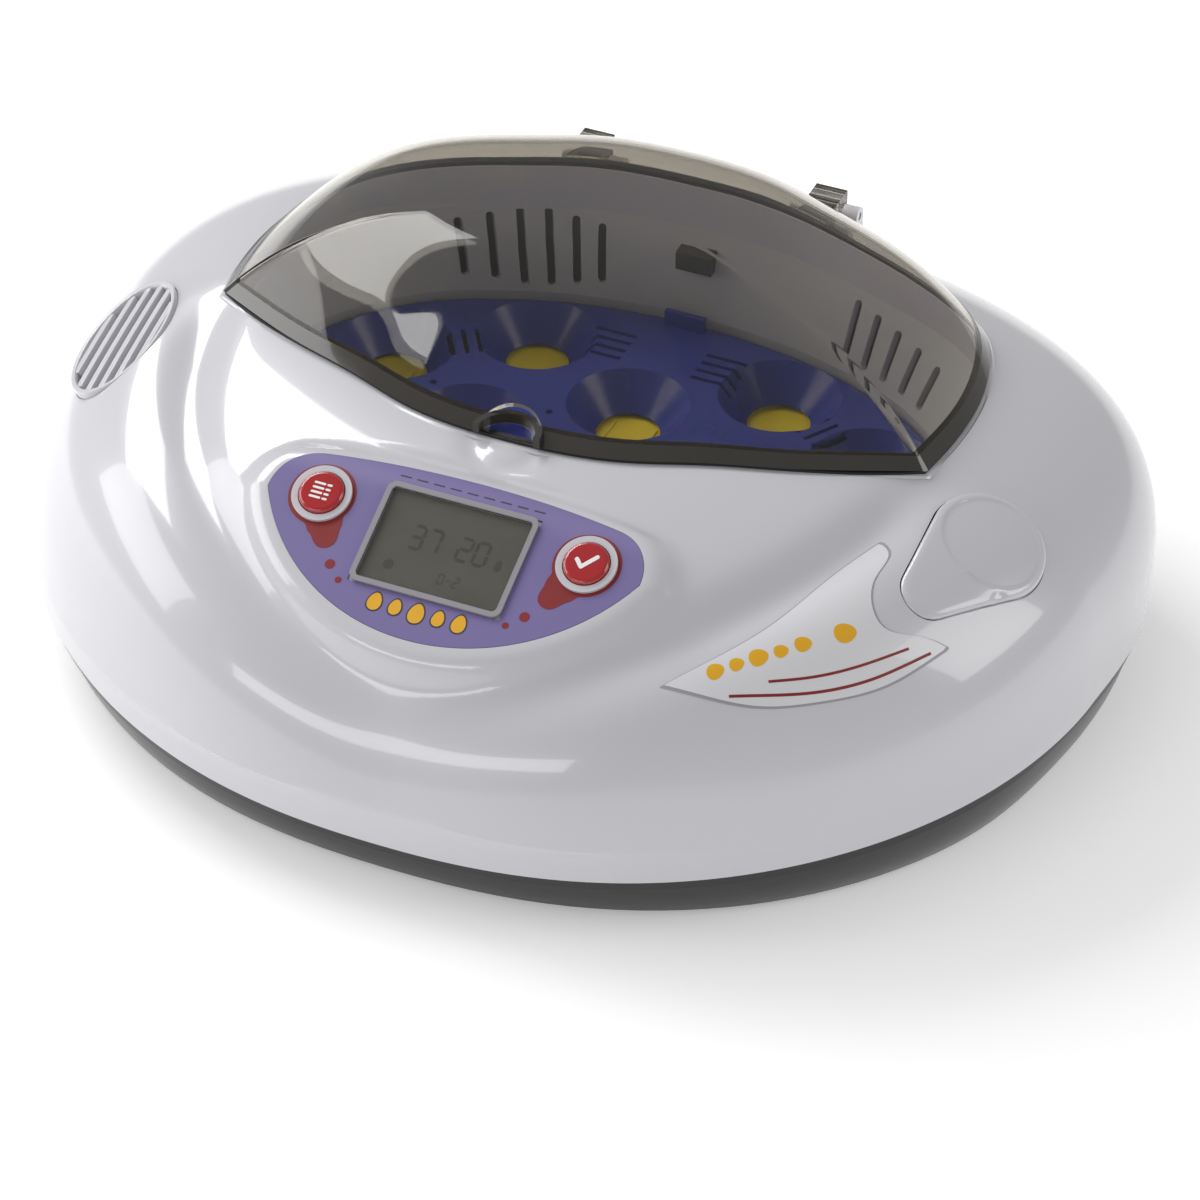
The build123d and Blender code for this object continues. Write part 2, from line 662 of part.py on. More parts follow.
def make_hinge_pins():
    pins = []
    for side in (-1, 1):
        pins.append(Pos(side * HINGE_X, HINGE_Y, HINGE_Z) * Rot(0, 90, 0) * Cylinder(1.5, 24))
    return Compound(children=pins)


def make_panel_film():
    film = (slab(panel, panel_outline(), -8, 6) & below_panel(-0.3)) - below_panel(-0.8)
    film = film - slab(panel, Rectangle(LCD_W + 4, LCD_H + 4), -5, 5)
    for side in (-1, 1):
        film = film - slab(panel, Pos(side * BUTTON_U, BUTTON_V) * Circle(RING_R + 0.1), -5, 5)
    return film


def make_lcd_bezel():
    frame = RectangleRounded(LCD_W + 3.8, LCD_H + 3.8, 3.2) - RectangleRounded(LCD_W, LCD_H, 1.8)
    return slab(panel, frame, -0.8, 0.9)


def make_lcd_lens():
    return slab(panel, RectangleRounded(LCD_W - 0.1, LCD_H - 0.1, 1.7), -0.6, 0.3)


def make_lcd_module():
    block = slab(panel, Rectangle(LCD_W - 0.4, LCD_H - 0.4), -6.0, -0.8)
    return block + slab(panel, Rectangle(LCD_W - 8, LCD_H - 6), -12.9, -6.0)


def make_button_rings():
    rings = []
    for side in (-1, 1):
        spot = Pos(side * BUTTON_U, BUTTON_V)
        ring = slab(panel, spot * (Circle(RING_R) - Circle(BUTTON_R + 0.3)), -6.4, 0.9)
        rings.append(ring)
    return Compound(children=rings)


def make_button(side):
    spot = Pos(side * BUTTON_U, BUTTON_V)
    cap = slab(panel, spot * Circle(BUTTON_R), -6.0, 2.4)
    cap = fillet(cap.edges().filter_by(GeomType.CIRCLE).sort_by(Axis.Z)[-1], 1.6)
    stem = slab(panel, spot * Circle(2.0), -9.5, -5.9)
    return cap + stem


def make_control_board():
    board = slab(panel, RectangleRounded(126, 48, 3), -14.5, -12.9)
    for u, v in BOARD_POINTS:
        board = board - slab(panel, Pos(u, v) * Circle(1.4), -16, -12)
    return board


def make_tact_switches():
    switches = []
    for side in (-1, 1):
        spot = Pos(side * BUTTON_U, BUTTON_V)
        body = slab(panel, spot * Rectangle(6, 6), -12.9, -11.4)
        switches.append(body + slab(panel, spot * Circle(1.7), -11.5, -10.8))
    return Compound(children=switches)


def make_board_parts():
    parts = []
    parts.append(slab(panel, Pos(-18, -4) * Rectangle(14, 14), -16.4, -14.5))
    parts.append(slab(panel, Pos(10, 10) * Rectangle(9, 6), -16.2, -14.5))
    for index in range(3):
        parts.append(slab(panel, Pos(24 + index * 9, -8) * Circle(3.6), -22.0, -14.5))
    parts.append(slab(panel, Pos(-46, 2) * Rectangle(8, 18), -20.5, -14.5))
    parts.append(slab(panel, Pos(50, 2) * Rectangle(8, 14), -20.5, -14.5))
    return Compound(children=parts)


def make_buzzer():
    return slab(panel, Pos(-2, 14) * (Circle(6) - Circle(1.2)), -19.5, -14.5)


def make_board_screws():
    screws = []
    for u, v in BOARD_POINTS:
        plane = panel.offset(-14.5) * Pos(u, v) * Rot(180, 0, 0)
        head = extrude(Plane(plane) * Circle(2.6), amount=1.6)
        shank = extrude(Plane(plane) * Circle(1.3), amount=-5.0)
        screws.append(head + shank)
    return screws


def make_info_label():
    """Thin leaf-shaped sticker on the right shoulder, beside the filler cover."""
    back = ThreePointArc((134, -30), (112, -78), (86, -114))
    front = ThreePointArc((86, -114), (112, -108), (136, -90))
    right = ThreePointArc((136, -90), (154, -74), (166, -52))
    inner = ThreePointArc((166, -52), (146, -54), (134, -30))
    outline = make_face(back + front + right + inner)
    block = extrude(Pos(0, 0, 40) * outline, amount=90)
    return block & (hull(0.3) - hull(0.02))


# ---------------- air and water fittings ----------------
def make_fan_frame():
    x, y = FAN_XY
    frame = extrude(RectangleRounded(FAN_SIZE, FAN_SIZE, 3) - Circle(FAN_SIZE / 2 - 1.4), amount=FAN_H)
    hub = extrude(Circle(6.2), amount=2.0)
    for angle in (45, 165, 285):
        hub += Rot(0, 0, angle) * Pos(11, 0, 0.75) * Box(13, 2.2, 1.5)
    hub += extrude(Circle(1.0), amount=7.5)
    for sx in (-1, 1):
        for sy in (-1, 1):
            frame = frame - Pos(sx * 14.6, sy * 14.6, 5) * Cylinder(1.4, 20)
    return Pos(x, y, FAN_Z) * (frame + hub)


def make_fan_impeller():
    x, y = FAN_XY
    hub = extrude(Circle(6.2), amount=6.5)
    blade_r = FAN_SIZE / 2 - 2.2
    for index in range(7):
        blade = Box(blade_r - 4.0, 1.2, 7.6)
        blade = Rot(0, 0, index * 360 / 7) * Pos(5 + (blade_r - 4.0) / 2, 0, 3.3) * Rot(38, 0, 0) * blade
        hub += blade
    hub = hub & Pos(0, 0, 0.1) * extrude(Circle(blade_r), amount=6.4)
    hub = hub - extrude(Circle(1.05), amount=5.6)
    return Pos(x, y, FAN_Z + 2.5) * hub


def make_fan_bracket():
    x, y = FAN_XY
    plate = Pos(x + 3, y, FAN_Z - 0.8) * Box(44, 46, 1.6)
    plate = plate - Pos(x, y, FAN_Z - 0.8) * Cylinder(15.5, 10)
    plate = plate - chamber_block(4.2, 50, 90)
    return plate & hull(-WALL)


def make_heater():
    """Flat mica-style heater with wound ribs, beside the fan outlet."""
    x, y = FAN_XY
    body = Pos(x + 2, y, 54) * Box(30, 34, 1.6)
    for step in range(7):
        body += Pos(x + 2, y - 14 + step * 4.6, 54) * Box(22, 1.4, 3.4)
    return body - chamber_block(4.0, 40, 70)


def make_heater_posts():
    x, y = FAN_XY
    posts = []
    for sx in (-1, 1):
        for sy in (-1, 1):
            spot = Pos(x + 2 + sx * 13, y + sy * 15.8, 54.8)
            posts.append(spot * extrude(Circle(1.6), amount=FAN_Z - 1.6 - 54.8))
    return Compound(children=posts)


def make_sensor():
    """Small temperature and humidity probe on the chamber's back wall."""
    return Pos(0, 122, 86) * Box(14, 6, 7) + Pos(0, 127, 86) * Box(9, 5, 4)


def make_filler_tube():
    outer = slab(filler_plane, Circle(10.2), -15, -3.1)
    start = filler_plane.offset(-12).origin
    drop = Pos(start.X, start.Y, 34) * extrude(Circle(7.2), amount=start.Z - 34)
    tube = outer + drop
    bore = slab(filler_plane, Circle(8.0), -13, 5)
    inner = Pos(start.X, start.Y, 30) * extrude(Circle(5.6), amount=start.Z - 30)
    tube = tube - bore - inner
    return tube - (hull(10) - hull(-WALL - 0.05))


def make_filler_cover():
    cover = slab(filler_plane, drop_outline(), -14, 14)
    cover = cover & (hull(2.6) - hull(-0.9))
    plug = slab(filler_plane, Circle(7.6) - Circle(6.0), -5.5, 0.5) & hull(0.5)
    cover = cover + plug
    return cover - slab(filler_plane, Pos(14, 21) * Rot(0, 0, -20) * Rectangle(10, 3), -4, 0.4)


def make_power_inlet():
    """Round low-voltage socket in the back of the base."""
    socket = Pos(70, 128, 14) * Box(12, 14, 12)
    socket += Pos(70, 134, 14) * Rot(-90, 0, 0) * extrude(Circle(5.4), amount=9.6)
    socket = socket - Pos(70, 137, 14) * Rot(90, 0, 0) * Cylinder(3.2, 18)
    return socket + Pos(70, 133, 14) * Rot(90, 0, 0) * Cylinder(1.0, 11)


def make_power_board():
    x, y = POWER_BOARD_XY
    board = Pos(x, y, 12) * Box(34, 66, 1.6)
    board += Pos(x, y - 18, 18.3) * Box(18, 16, 11)
    board += Pos(x - 6, y + 10, 17.0) * Cylinder(6, 8.4)
    board += Pos(x + 8, y + 20, 16.0) * Box(8, 12, 6.4)
    for offset in (-28, 28):
        board += Pos(x, y + offset, 8.7) * Cylinder(2.5, 5.2)
    return board


def make_frame_screws():
    screws = []
    for x, y in POST_XY:
        screws.append(screw(Plane(origin=(x, y, FRAME_Z + 0.9)), 2.6, 8, 1.45))
    return screws


save(make_base_tub(), "base_tub")
save(make_feet(), "rubber_feet")
save(make_water_tray(), "water_tray")
save(make_tray_frame(), "tray_frame")
save(Compound(children=make_frame_screws()), "frame_screws")
save(make_egg_tray(), "egg_tray")
save(make_turning_plate(), "turning_plate")
save(make_turning_rack(), "turning_rack")
save(make_pinion(), "drive_pinion")
save(make_turning_motor(), "turning_motor")
save(make_motor_bracket(), "motor_bracket")
save(make_power_inlet(), "power_inlet")
save(make_power_board(), "power_board")
save(make_housing(), "upper_housing")
save(make_liner(), "chamber_liner")
save(make_window_seal(), "window_seal")
save(make_window(), "window_dome")
save(make_window_grip(), "window_grip")
save(make_hinge_lugs(), "hinge_lugs")
save(make_hinge_brackets(), "hinge_brackets")
save(make_hinge_pins(), "hinge_pins")
save(make_panel_film(), "panel_film")
save(make_lcd_bezel(), "lcd_bezel")
save(make_lcd_lens(), "lcd_lens")
save(make_lcd_module(), "lcd_module")
save(make_button_rings(), "button_rings")
save(make_button(-1), "select_button")
save(make_button(1), "confirm_button")
save(make_control_board(), "control_board")
save(make_tact_switches(), "tact_switches")
save(make_board_parts(), "board_parts")
save(make_buzzer(), "buzzer")
save(Compound(children=make_board_screws()), "board_screws")
save(make_vent_grille(), "vent_grille")
save(make_fan_frame(), "fan_frame")
save(make_fan_impeller(), "fan_impeller")
save(make_fan_bracket(), "fan_bracket")
save(make_heater(), "heater_element")
save(make_heater_posts(), "heater_posts")
save(make_sensor(), "climate_sensor")
save(make_filler_tube(), "filler_tube")
save(make_filler_cover(), "filler_cover")
save(make_info_label(), "info_label")
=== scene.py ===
"""Looks of a tabletop egg incubator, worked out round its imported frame.

Every length is in metres, in the frame's own axes: +X right, -Y front, +Z up."""

import math

import bmesh
import bpy
import numpy as np
from bpy.props import FloatProperty, FloatVectorProperty, IntProperty, PointerProperty
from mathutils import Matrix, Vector


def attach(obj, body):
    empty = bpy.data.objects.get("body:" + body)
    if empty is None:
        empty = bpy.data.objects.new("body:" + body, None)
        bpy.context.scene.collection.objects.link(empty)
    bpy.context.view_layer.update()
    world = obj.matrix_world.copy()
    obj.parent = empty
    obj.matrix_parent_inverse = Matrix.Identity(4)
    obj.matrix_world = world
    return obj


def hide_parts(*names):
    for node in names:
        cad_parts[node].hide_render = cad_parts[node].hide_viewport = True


bl_info = {
    "name": "Egg incubator looks",
    "version": (1, 0, 0),
    "blender": (4, 5, 0),
    "location": "3D View > Sidebar > Incubator",
    "description": "Builds the shells, window, prints, finishes and stage of a tabletop egg incubator",
    "category": "Object",
}

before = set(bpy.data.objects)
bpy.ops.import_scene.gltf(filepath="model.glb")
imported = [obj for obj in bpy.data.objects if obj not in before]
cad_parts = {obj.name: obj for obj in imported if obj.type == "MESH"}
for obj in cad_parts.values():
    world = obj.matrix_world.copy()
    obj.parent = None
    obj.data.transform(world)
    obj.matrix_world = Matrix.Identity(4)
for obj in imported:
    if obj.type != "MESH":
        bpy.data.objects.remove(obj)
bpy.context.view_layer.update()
MM = 0.001

# window outline: a shallow V in front and one long curve at the back, right half only
FRONT_EDGE = [(134, 5), (90, -20), (67, -29), (40, -40), (0, -45)]
BACK_EDGE = [(134, 5), (137, 39), (135, 60), (125, 86), (100, 104.5), (73, 115.5), (45, 125), (0, 129)]
RIM_MIDDLE = 114.4 * MM
RIM_DROP = 7.4 * MM
WINDOW_CENTRE_Y = 62 * MM
NOTCH_XY = (0.0, -46 * MM)
SHARP = math.radians(32)
FILM_TOP = -0.3 * MM
UPRIGHT = 1.57


# ---------------------------------------------------------------- sizes and colours
def length(name, value, description):
    return FloatProperty(name=name, default=value, unit="LENGTH", precision=4, description=description)


def number(name, value, description):
    return FloatProperty(name=name, default=value, description=description)


def colour(name, value, description):
    return FloatVectorProperty(
        name=name, default=value, size=3, subtype="COLOR", min=0.0, max=1.0, description=description
    )


class IncubatorShell(bpy.types.PropertyGroup):
    """Sizes of the outer hull"""

    half_width: length("Half width", 0.2, "Half width of the hull")
    half_depth: length("Half depth", 0.1535, "Half depth of the hull")
    centre_y: length("Middle", -0.001, "Middle of the plan outline")
    plan_power: number("Plan power", 2.37, "Squareness of the plan outline")
    egg: number("Egg", 0.15, "How much wider the plan is towards the back")
    side_top: length("Side top", 0.036, "Height where the side starts to curve over")
    dome: length("Dome", 0.08, "Height of the curved part")
    power_out: number("Profile out", 3.09, "Exponent of the profile across")
    power_up: number("Profile up", 3.08, "Exponent of the profile upwards")
    lean: length("Lean", 0.0193, "How far the top leans back")
    seam: length("Seam", 0.02035, "Height of the seam at the middle")
    seam_rise: length("Seam rise", 0.01165, "How much the seam rises at the sides")
    wall: length("Wall", 0.0025, "Wall thickness")
    groove: length("Groove", 0.0045, "Depth of the moat round the panel")
    groove_width: length("Groove width", 0.0095, "Half width of the moat")
    shoulder: length("Shoulder", 0.0016, "Height of the soft shoulder outside the moat")


class IncubatorWindow(bpy.types.PropertyGroup):
    """Sizes of the smoked window"""

    top: length("Top", 0.1462, "Height of the top of the window")
    power: number("Power", 4.2, "Squareness of the window's profile")
    lean: number("Lean", 1.2, "How much squarer it is at the back")
    ease: number("Ease", 100.0, "How much softer it is where the rim is higher, per metre")
    wall: length("Wall", 0.0022, "Wall thickness")
    seal: length("Seal", 0.0012, "Height of the seal")


class IncubatorPanel(bpy.types.PropertyGroup):
    """Sizes of the control panel"""

    tilt: FloatProperty(name="Tilt", default=math.radians(25.7), subtype="ANGLE", description="Tilt")
    bend_v: length("Bend", 0.014, "Where the panel starts to bend back")
    bend_r: length("Bend radius", 0.028, "Radius of that bend")
    key_u: length("Key across", 0.049, "Distance of the keys from the middle")
    key_v: length("Key up", 0.008, "Height of the keys on the panel")
    key_r: length("Key radius", 0.008, "Radius of a key cap")
    ring_r: length("Ring radius", 0.0106, "Radius of the white ring round a key")


class IncubatorColours(bpy.types.PropertyGroup):
    """Base colours of the finishes"""

    housing: colour("Housing", (0.62, 0.62, 0.655), "Pearl white housing")
    base: colour("Base", (0.012, 0.011, 0.012), "Dark base")
    smoke: colour("Window", (0.56, 0.53, 0.475), "Smoked window")
    tray: colour("Egg tray", (0.035, 0.055, 0.36), "Blue egg tray")
    plate: colour("Turning plate", (0.95, 0.76, 0.02), "Yellow turning plate")
    liner: colour("Liner", (0.55, 0.56, 0.59), "Chamber liner")
    film: colour("Panel film", (0.19, 0.155, 0.36), "Lavender panel film")
    red: colour("Red", (0.42, 0.004, 0.008), "Key caps")
    print_red: colour("Print red", (0.24, 0.012, 0.012), "Red print round the keys")
    lcd: colour("Display", (0.060, 0.056, 0.044), "Display cell")
    yellow: colour("Mark yellow", (0.80, 0.42, 0.01), "Egg marks")


class IncubatorStage(bpy.types.PropertyGroup):
    """Camera and lamps"""

    turn: FloatProperty(name="Turn", default=math.radians(23.8), subtype="ANGLE", description="Turn")
    height: FloatProperty(name="Height", default=math.radians(37.9), subtype="ANGLE", description="Height")
    distance: length("Distance", 1.8, "Distance of the camera from its aim")
    lens: number("Lens", 156.8, "Focal length in millimetres")
    spokes: IntProperty(name="Spokes", default=420, min=60, description="Columns of the housing's grid")


# ---------------------------------------------------------------- numpy shapes
def signed_power(value, exponent):
    return np.sign(value) * np.abs(value) ** exponent


def smoothstep(value):
    value = np.clip(value, 0.0, 1.0)
    return value * value * (3 - 2 * value)


def smooth_line(points, count):
    """Natural cubic spline through the points, chord length as its parameter, evenly spaced samples."""
    p = np.asarray(points, float)
    h = np.linalg.norm(np.diff(p, axis=0), axis=1)
    t = np.concatenate([[0], np.cumsum(h)])
    matrix = np.eye(len(p))
    right = np.zeros_like(p)
    i = np.arange(1, len(p) - 1)
    matrix[i, i - 1] = h[:-1]
    matrix[i, i] = 2 * (h[:-1] + h[1:])
    matrix[i, i + 1] = h[1:]
    slope = np.diff(p, axis=0) / h[:, None]
    right[i] = 6 * np.diff(slope, axis=0)
    bend = np.linalg.solve(matrix, right)
    s = np.linspace(0, t[-1], 40 * len(p))
    k = np.clip(np.searchsorted(t, s, "right") - 1, 0, len(h) - 1)
    a = ((t[k + 1] - s) / h[k])[:, None]
    b = ((s - t[k]) / h[k])[:, None]
    hk = h[k][:, None] ** 2 / 6
    line = a * p[k] + b * p[k + 1] + ((a**3 - a) * bend[k] + (b**3 - b) * bend[k + 1]) * hk
    return even(line, count)


def even(line, count):
    """Samples of a polyline at even distances along it."""
    far = np.concatenate([[0], np.cumsum(np.linalg.norm(np.diff(line, axis=0), axis=1))])
    at = np.linspace(0, far[-1], count)
    return np.stack([np.interp(at, far, line[:, k]) for k in range(line.shape[1])], 1)


def arc(a, middle, b, count=24):
    """Circle through three plan points, from a to b: centre where their mid-lines cross."""
    a, middle, b = (np.array(p, float) for p in (a, middle, b))
    rows = 2 * np.array([middle - a, b - a])
    centre = np.linalg.solve(rows, [middle @ middle - a @ a, b @ b - a @ a])
    angles = [math.atan2(*(p - centre)[::-1]) for p in (a, middle, b)]
    turn = (angles[2] - angles[0]) % (2 * math.pi)
    if (angles[1] - angles[0]) % (2 * math.pi) > turn:
        turn -= 2 * math.pi
    radius = np.linalg.norm(a - centre)
    q = angles[0] + turn * np.linspace(0, 1, count)
    return centre + radius * np.stack([np.cos(q), np.sin(q)], 1)


def circle(radius, count=48, centre=(0.0, 0.0)):
    q = np.linspace(0, 2 * np.pi, count, endpoint=False)
    return np.array(centre) + radius * np.stack([np.cos(q), np.sin(q)], 1)


def closed(line):
    """A closed outline from pieces that share their end points."""
    line = np.concatenate(line)
    return line[np.linalg.norm(line - np.roll(line, 1, 0), axis=1) > 1e-7]


def window_outline(inset=0.0, count=420):
    """Outline of the window in plan, moved inwards by inset; starts at the right corner, goes round."""
    back = np.array(BACK_EDGE) * MM
    back = np.concatenate([back, (back * [-1, 1])[-2::-1]])
    front = np.array(FRONT_EDGE) * MM
    front = np.concatenate([front * [-1, 1], front[-2::-1]])
    share = count * 21 // 33
    line = np.concatenate([smooth_line(back, share + 1)[:-1], smooth_line(front, count - share + 1)[:-1]])
    return move_in(line, inset)


def move_in(line, inset):
    """Scales plan points towards the window's middle so that its edge moves by inset."""
    return np.stack(
        [line[..., 0] * (1 - inset / 0.137), 0.042 + (line[..., 1] - 0.042) * (1 - inset / 0.087)], -1
    )


def rim_height(x):
    """Height of the window rim: bowed down towards both corners by the cube of x."""
    return RIM_MIDDLE - RIM_DROP * np.minimum(np.abs(x) / 0.134, 1.1) ** 3


def hull_ring(angle, rise):
    """x = w r c^(2/n) (1 + k s), y = d r s^(2/n) + lean t + middle, z = side + dome t,
    with r = (1 - t^u)^(1/o) and c, s the cosine and sine of angle."""
    shell = bpy.context.scene.incubator_shell
    r = (1 - rise**shell.power_up) ** (1 / shell.power_out)
    c = np.cos(angle)
    s = np.sin(angle)
    x = shell.half_width * r * signed_power(c, 2 / shell.plan_power) * (1 + shell.egg * s)
    y = shell.half_depth * r * signed_power(s, 2 / shell.plan_power) + shell.lean * rise + shell.centre_y
    return np.stack([x, y, shell.side_top + shell.dome * rise + 0 * x], -1)


def hull_coordinates(x, y):
    """Angle and rise of the hull point above each plan point, by halving the rise 40 times."""
    shell = bpy.context.scene.incubator_shell
    low = np.zeros_like(x)
    high = np.ones_like(x)
    for _ in range(40):
        t = (low + high) / 2
        r = (1 - t**shell.power_up) ** (1 / shell.power_out)
        across = (y - shell.centre_y - shell.lean * t) / (shell.half_depth * r)
        s = signed_power(np.clip(across, -1, 1), shell.plan_power / 2)
        half = shell.half_width * r * (1 - s * s) ** (1 / shell.plan_power) * (1 + shell.egg * s)
        inside = (np.abs(across) < 1) & (np.abs(x) < half)
        low = np.where(inside, t, low)
        high = np.where(inside, high, t)
    t = low
    r = (1 - t**shell.power_up) ** (1 / shell.power_out)
    across = (y - shell.centre_y - shell.lean * t) / (shell.half_depth * r)
    s = signed_power(np.clip(across, -1, 1), shell.plan_power / 2)
    c = signed_power(
        np.clip(x / (shell.half_width * r * (1 + shell.egg * s)), -1, 1), shell.plan_power / 2
    )
    return np.arctan2(s, c), t


def hull_height(x, y):
    shell = bpy.context.scene.incubator_shell
    return shell.side_top + shell.dome * hull_coordinates(np.asarray(x, float), np.asarray(y, float))[1]


class Spot:
    """A flat place: origin, two directions across it and its normal."""

    def __init__(self, origin, across, normal):
        self.origin = np.array(origin, float)
        self.normal = np.array(normal, float) / np.linalg.norm(normal)
        across = np.array(across, float)
        across = across - self.normal * (across @ self.normal)
        self.u = across / np.linalg.norm(across)
        self.v = np.cross(self.normal, self.u)

    def at(self, uv, height):
        """origin + u across + v up + height along the normal."""
        uv = np.asarray(uv, float)
        height = np.asarray(height, float) * np.ones(uv.shape[:-1])
        return (
            self.origin
            + uv[..., :1] * self.u
            + uv[..., 1:] * self.v
            + height[..., None] * self.normal
        )

    def read(self, points):
        d = points - self.origin
        return d @ self.u, d @ self.v, d @ self.normal


def hull_spot(x, y, towards):
    """Plane that touches the hull above (x, y)."""
    step = 0.0005
    slope_x = (hull_height([x + step], [y]) - hull_height([x - step], [y]))[0] / (2 * step)
    slope_y = (hull_height([x], [y + step]) - hull_height([x], [y - step]))[0] / (2 * step)
    return Spot((x, y, hull_height([x], [y])[0]), (*towards, 0), (-slope_x, -slope_y, 1))


def panel_spot():
    tilt = bpy.context.scene.incubator_panel.tilt
    return Spot((0, -0.0955, 0.104), (1, 0, 0), (0, -math.sin(tilt), math.cos(tilt)))


def filler_spot():
    return hull_spot(0.163, -0.010, (-12, -40))


def vent_spot():
    return hull_spot(-0.163, -0.018, (0, 1))


def panel_outline(grow=0.0):
    """Flat-topped shield of four arcs: top, two shoulders and one deep lower arc."""
    g = grow / MM
    side = (68.7 + g, 6)
    shoulder = (54 + g * 0.7, 24 + g)
    mid = (65.2 + g, 17.2 + g * 0.5)
    flip = np.array([-1, 1])
    top = arc(np.array(shoulder) * flip, (0, 28.7 + g), shoulder, 60)
    right = arc(shoulder, mid, side, 24)
    low = arc(side, (0, -35.3 - g), np.array(side) * flip, 90)
    left = arc(np.array(side) * flip, np.array(mid) * flip, np.array(shoulder) * flip, 24)
    return closed([top, right, low, left]) * MM


def panel_bend(v):
    """How far the panel surface bends back: zero up to bend_v, then a circle of radius bend_r."""
    panel = bpy.context.scene.incubator_panel
    past = np.clip(v - panel.bend_v, 0, panel.bend_r * 0.72)
    return panel.bend_r - np.sqrt(panel.bend_r**2 - past**2)


def drop_outline(grow=0.0):
    """Drop: a big round end, a small round tip and two tangent sides."""
    big = 0.021 + grow
    small = 0.010 + grow
    reach = 0.033
    lean = math.acos((big - small) / reach)
    around = np.linspace(lean, 2 * math.pi - lean, 70)
    tip = np.linspace(-lean, lean, 30)
    return np.concatenate(
        [
            big * np.stack([np.cos(around), np.sin(around)], 1),
            [reach, 0] + small * np.stack([np.cos(tip), np.sin(tip)], 1),
        ]
    )


def resample_closed(line, count):
    return even(np.concatenate([line, line[:1]]), count + 1)[:-1]


# ---------------------------------------------------------------- meshes
def grid_faces(rows, columns, wrap_rows, first):
    """Quads between neighbouring rows and columns; columns always wrap round."""
    r = np.arange(rows if wrap_rows else rows - 1)[:, None]
    c = np.arange(columns)[None, :]
    after = (r + 1) % rows
    right = (c + 1) % columns
    quads = np.stack(
        [r * columns + c + 0 * right, r * columns + right, after * columns + right, after * columns + c], -1
    )
    return quads.reshape(-1, 4) + first


def new_mesh(name, grids, wrap_rows=False):
    """One mesh from grids of points, each rows x columns x 3, whose columns close on themselves."""
    points = []
    faces = []
    first = 0
    for grid in grids:
        rows, columns = grid.shape[:2]
        points.append(grid.reshape(-1, 3))
        faces.append(grid_faces(rows, columns, wrap_rows, first))
        first += rows * columns
    points = np.concatenate(points)
    faces = np.concatenate(faces)
    mesh = bpy.data.meshes.new(name)
    mesh.vertices.add(len(points))
    mesh.vertices.foreach_set("co", points.astype(np.float32).ravel())
    mesh.loops.add(faces.size)
    mesh.loops.foreach_set("vertex_index", faces.astype(np.int32).ravel())
    mesh.polygons.add(len(faces))
    mesh.polygons.foreach_set("loop_start", np.arange(0, faces.size, 4, dtype=np.int32))
    mesh.update(calc_edges=True)
    mesh.validate()
    return mesh


def clean(mesh, sharp=SHARP, outward=True):
    """Merges doubles at poles, points the faces outwards and keeps edges above an angle sharp."""
    work = bmesh.new()
    work.from_mesh(mesh)
    bmesh.ops.remove_doubles(work, verts=work.verts, dist=2e-6)
    bmesh.ops.dissolve_degenerate(work, edges=work.edges, dist=1e-6)
    if outward:
        bmesh.ops.recalc_face_normals(work, faces=work.faces)
    work.to_mesh(mesh)
    work.free()
    mesh.polygons.foreach_set("use_smooth", np.ones(len(mesh.polygons), bool))
    mesh.set_sharp_from_angle(angle=sharp)
    return mesh


def place(name, mesh, body, material, replaced=()):
    """Makes a finished piece: links it, gives it its finish and lets it ride on its body."""
    obj = bpy.data.objects.new(name, mesh)
    bpy.context.scene.collection.objects.link(obj)
    mesh.materials.clear()
    mesh.materials.append(material)
    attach(obj, body)
    if replaced:
        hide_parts(*replaced)
    return obj


def cut(obj, cutters):
    """Takes closed meshes out of a piece and keeps the result as its mesh."""
    helpers = []
    for index, mesh in enumerate(cutters):
        helper = bpy.data.objects.new(f"cutter_{index}", mesh)
        bpy.context.scene.collection.objects.link(helper)
        modifier = obj.modifiers.new("cut", "BOOLEAN")
        modifier.operation = "DIFFERENCE"
        modifier.solver = "EXACT"
        modifier.object = helper
        helpers.append(helper)
    graph = bpy.context.evaluated_depsgraph_get()
    mesh = bpy.data.meshes.new_from_object(obj.evaluated_get(graph))
    obj.modifiers.clear()
    material = obj.data.materials[0]
    obj.data = mesh
    mesh.materials.clear()
    mesh.materials.append(material)
    for helper in helpers:
        bpy.data.objects.remove(helper)
    clean(mesh, outward=False)
    return obj


def stack(spot, outline, centre, levels):
    """Rings of one outline: each level is (share of the outline's size, height above the spot)."""
    centre = np.array(centre, float)
    rows = [spot.at(centre + (outline - centre) * share, height) for share, height in levels]
    return np.stack(rows)


def prism(name, spot, outline, low, high):
    """Closed straight block over an outline, for cutting."""
    centre = outline.mean(0)
    levels = [(0.0, low), (1.0, low), (1.0, high), (0.0, high)]
    return clean(new_mesh(name, [stack(spot, outline, centre, levels)]))


def pad(spot, outline, low, high, centre=None, bend=False, edge=0.06 * MM):
    """Thin plate over an outline with a softened upper edge; it follows the panel's bend if asked."""
    centre = outline.mean(0) if centre is None else np.array(centre, float)
    size = np.abs(outline - centre).max()
    shares = [(0.0, low), (1.0, low), (1.0, high - edge), (1.0 - edge / size, high)]
    shares += [(share, high) for share in (0.8, 0.6, 0.4, 0.2, 0.0)]
    rows = []
    for share, height in shares:
        uv = centre + (outline - centre) * share
        drop = panel_bend(uv[:, 1]) if bend else 0.0
        rows.append(spot.at(uv, height - drop))
    return np.stack(rows)


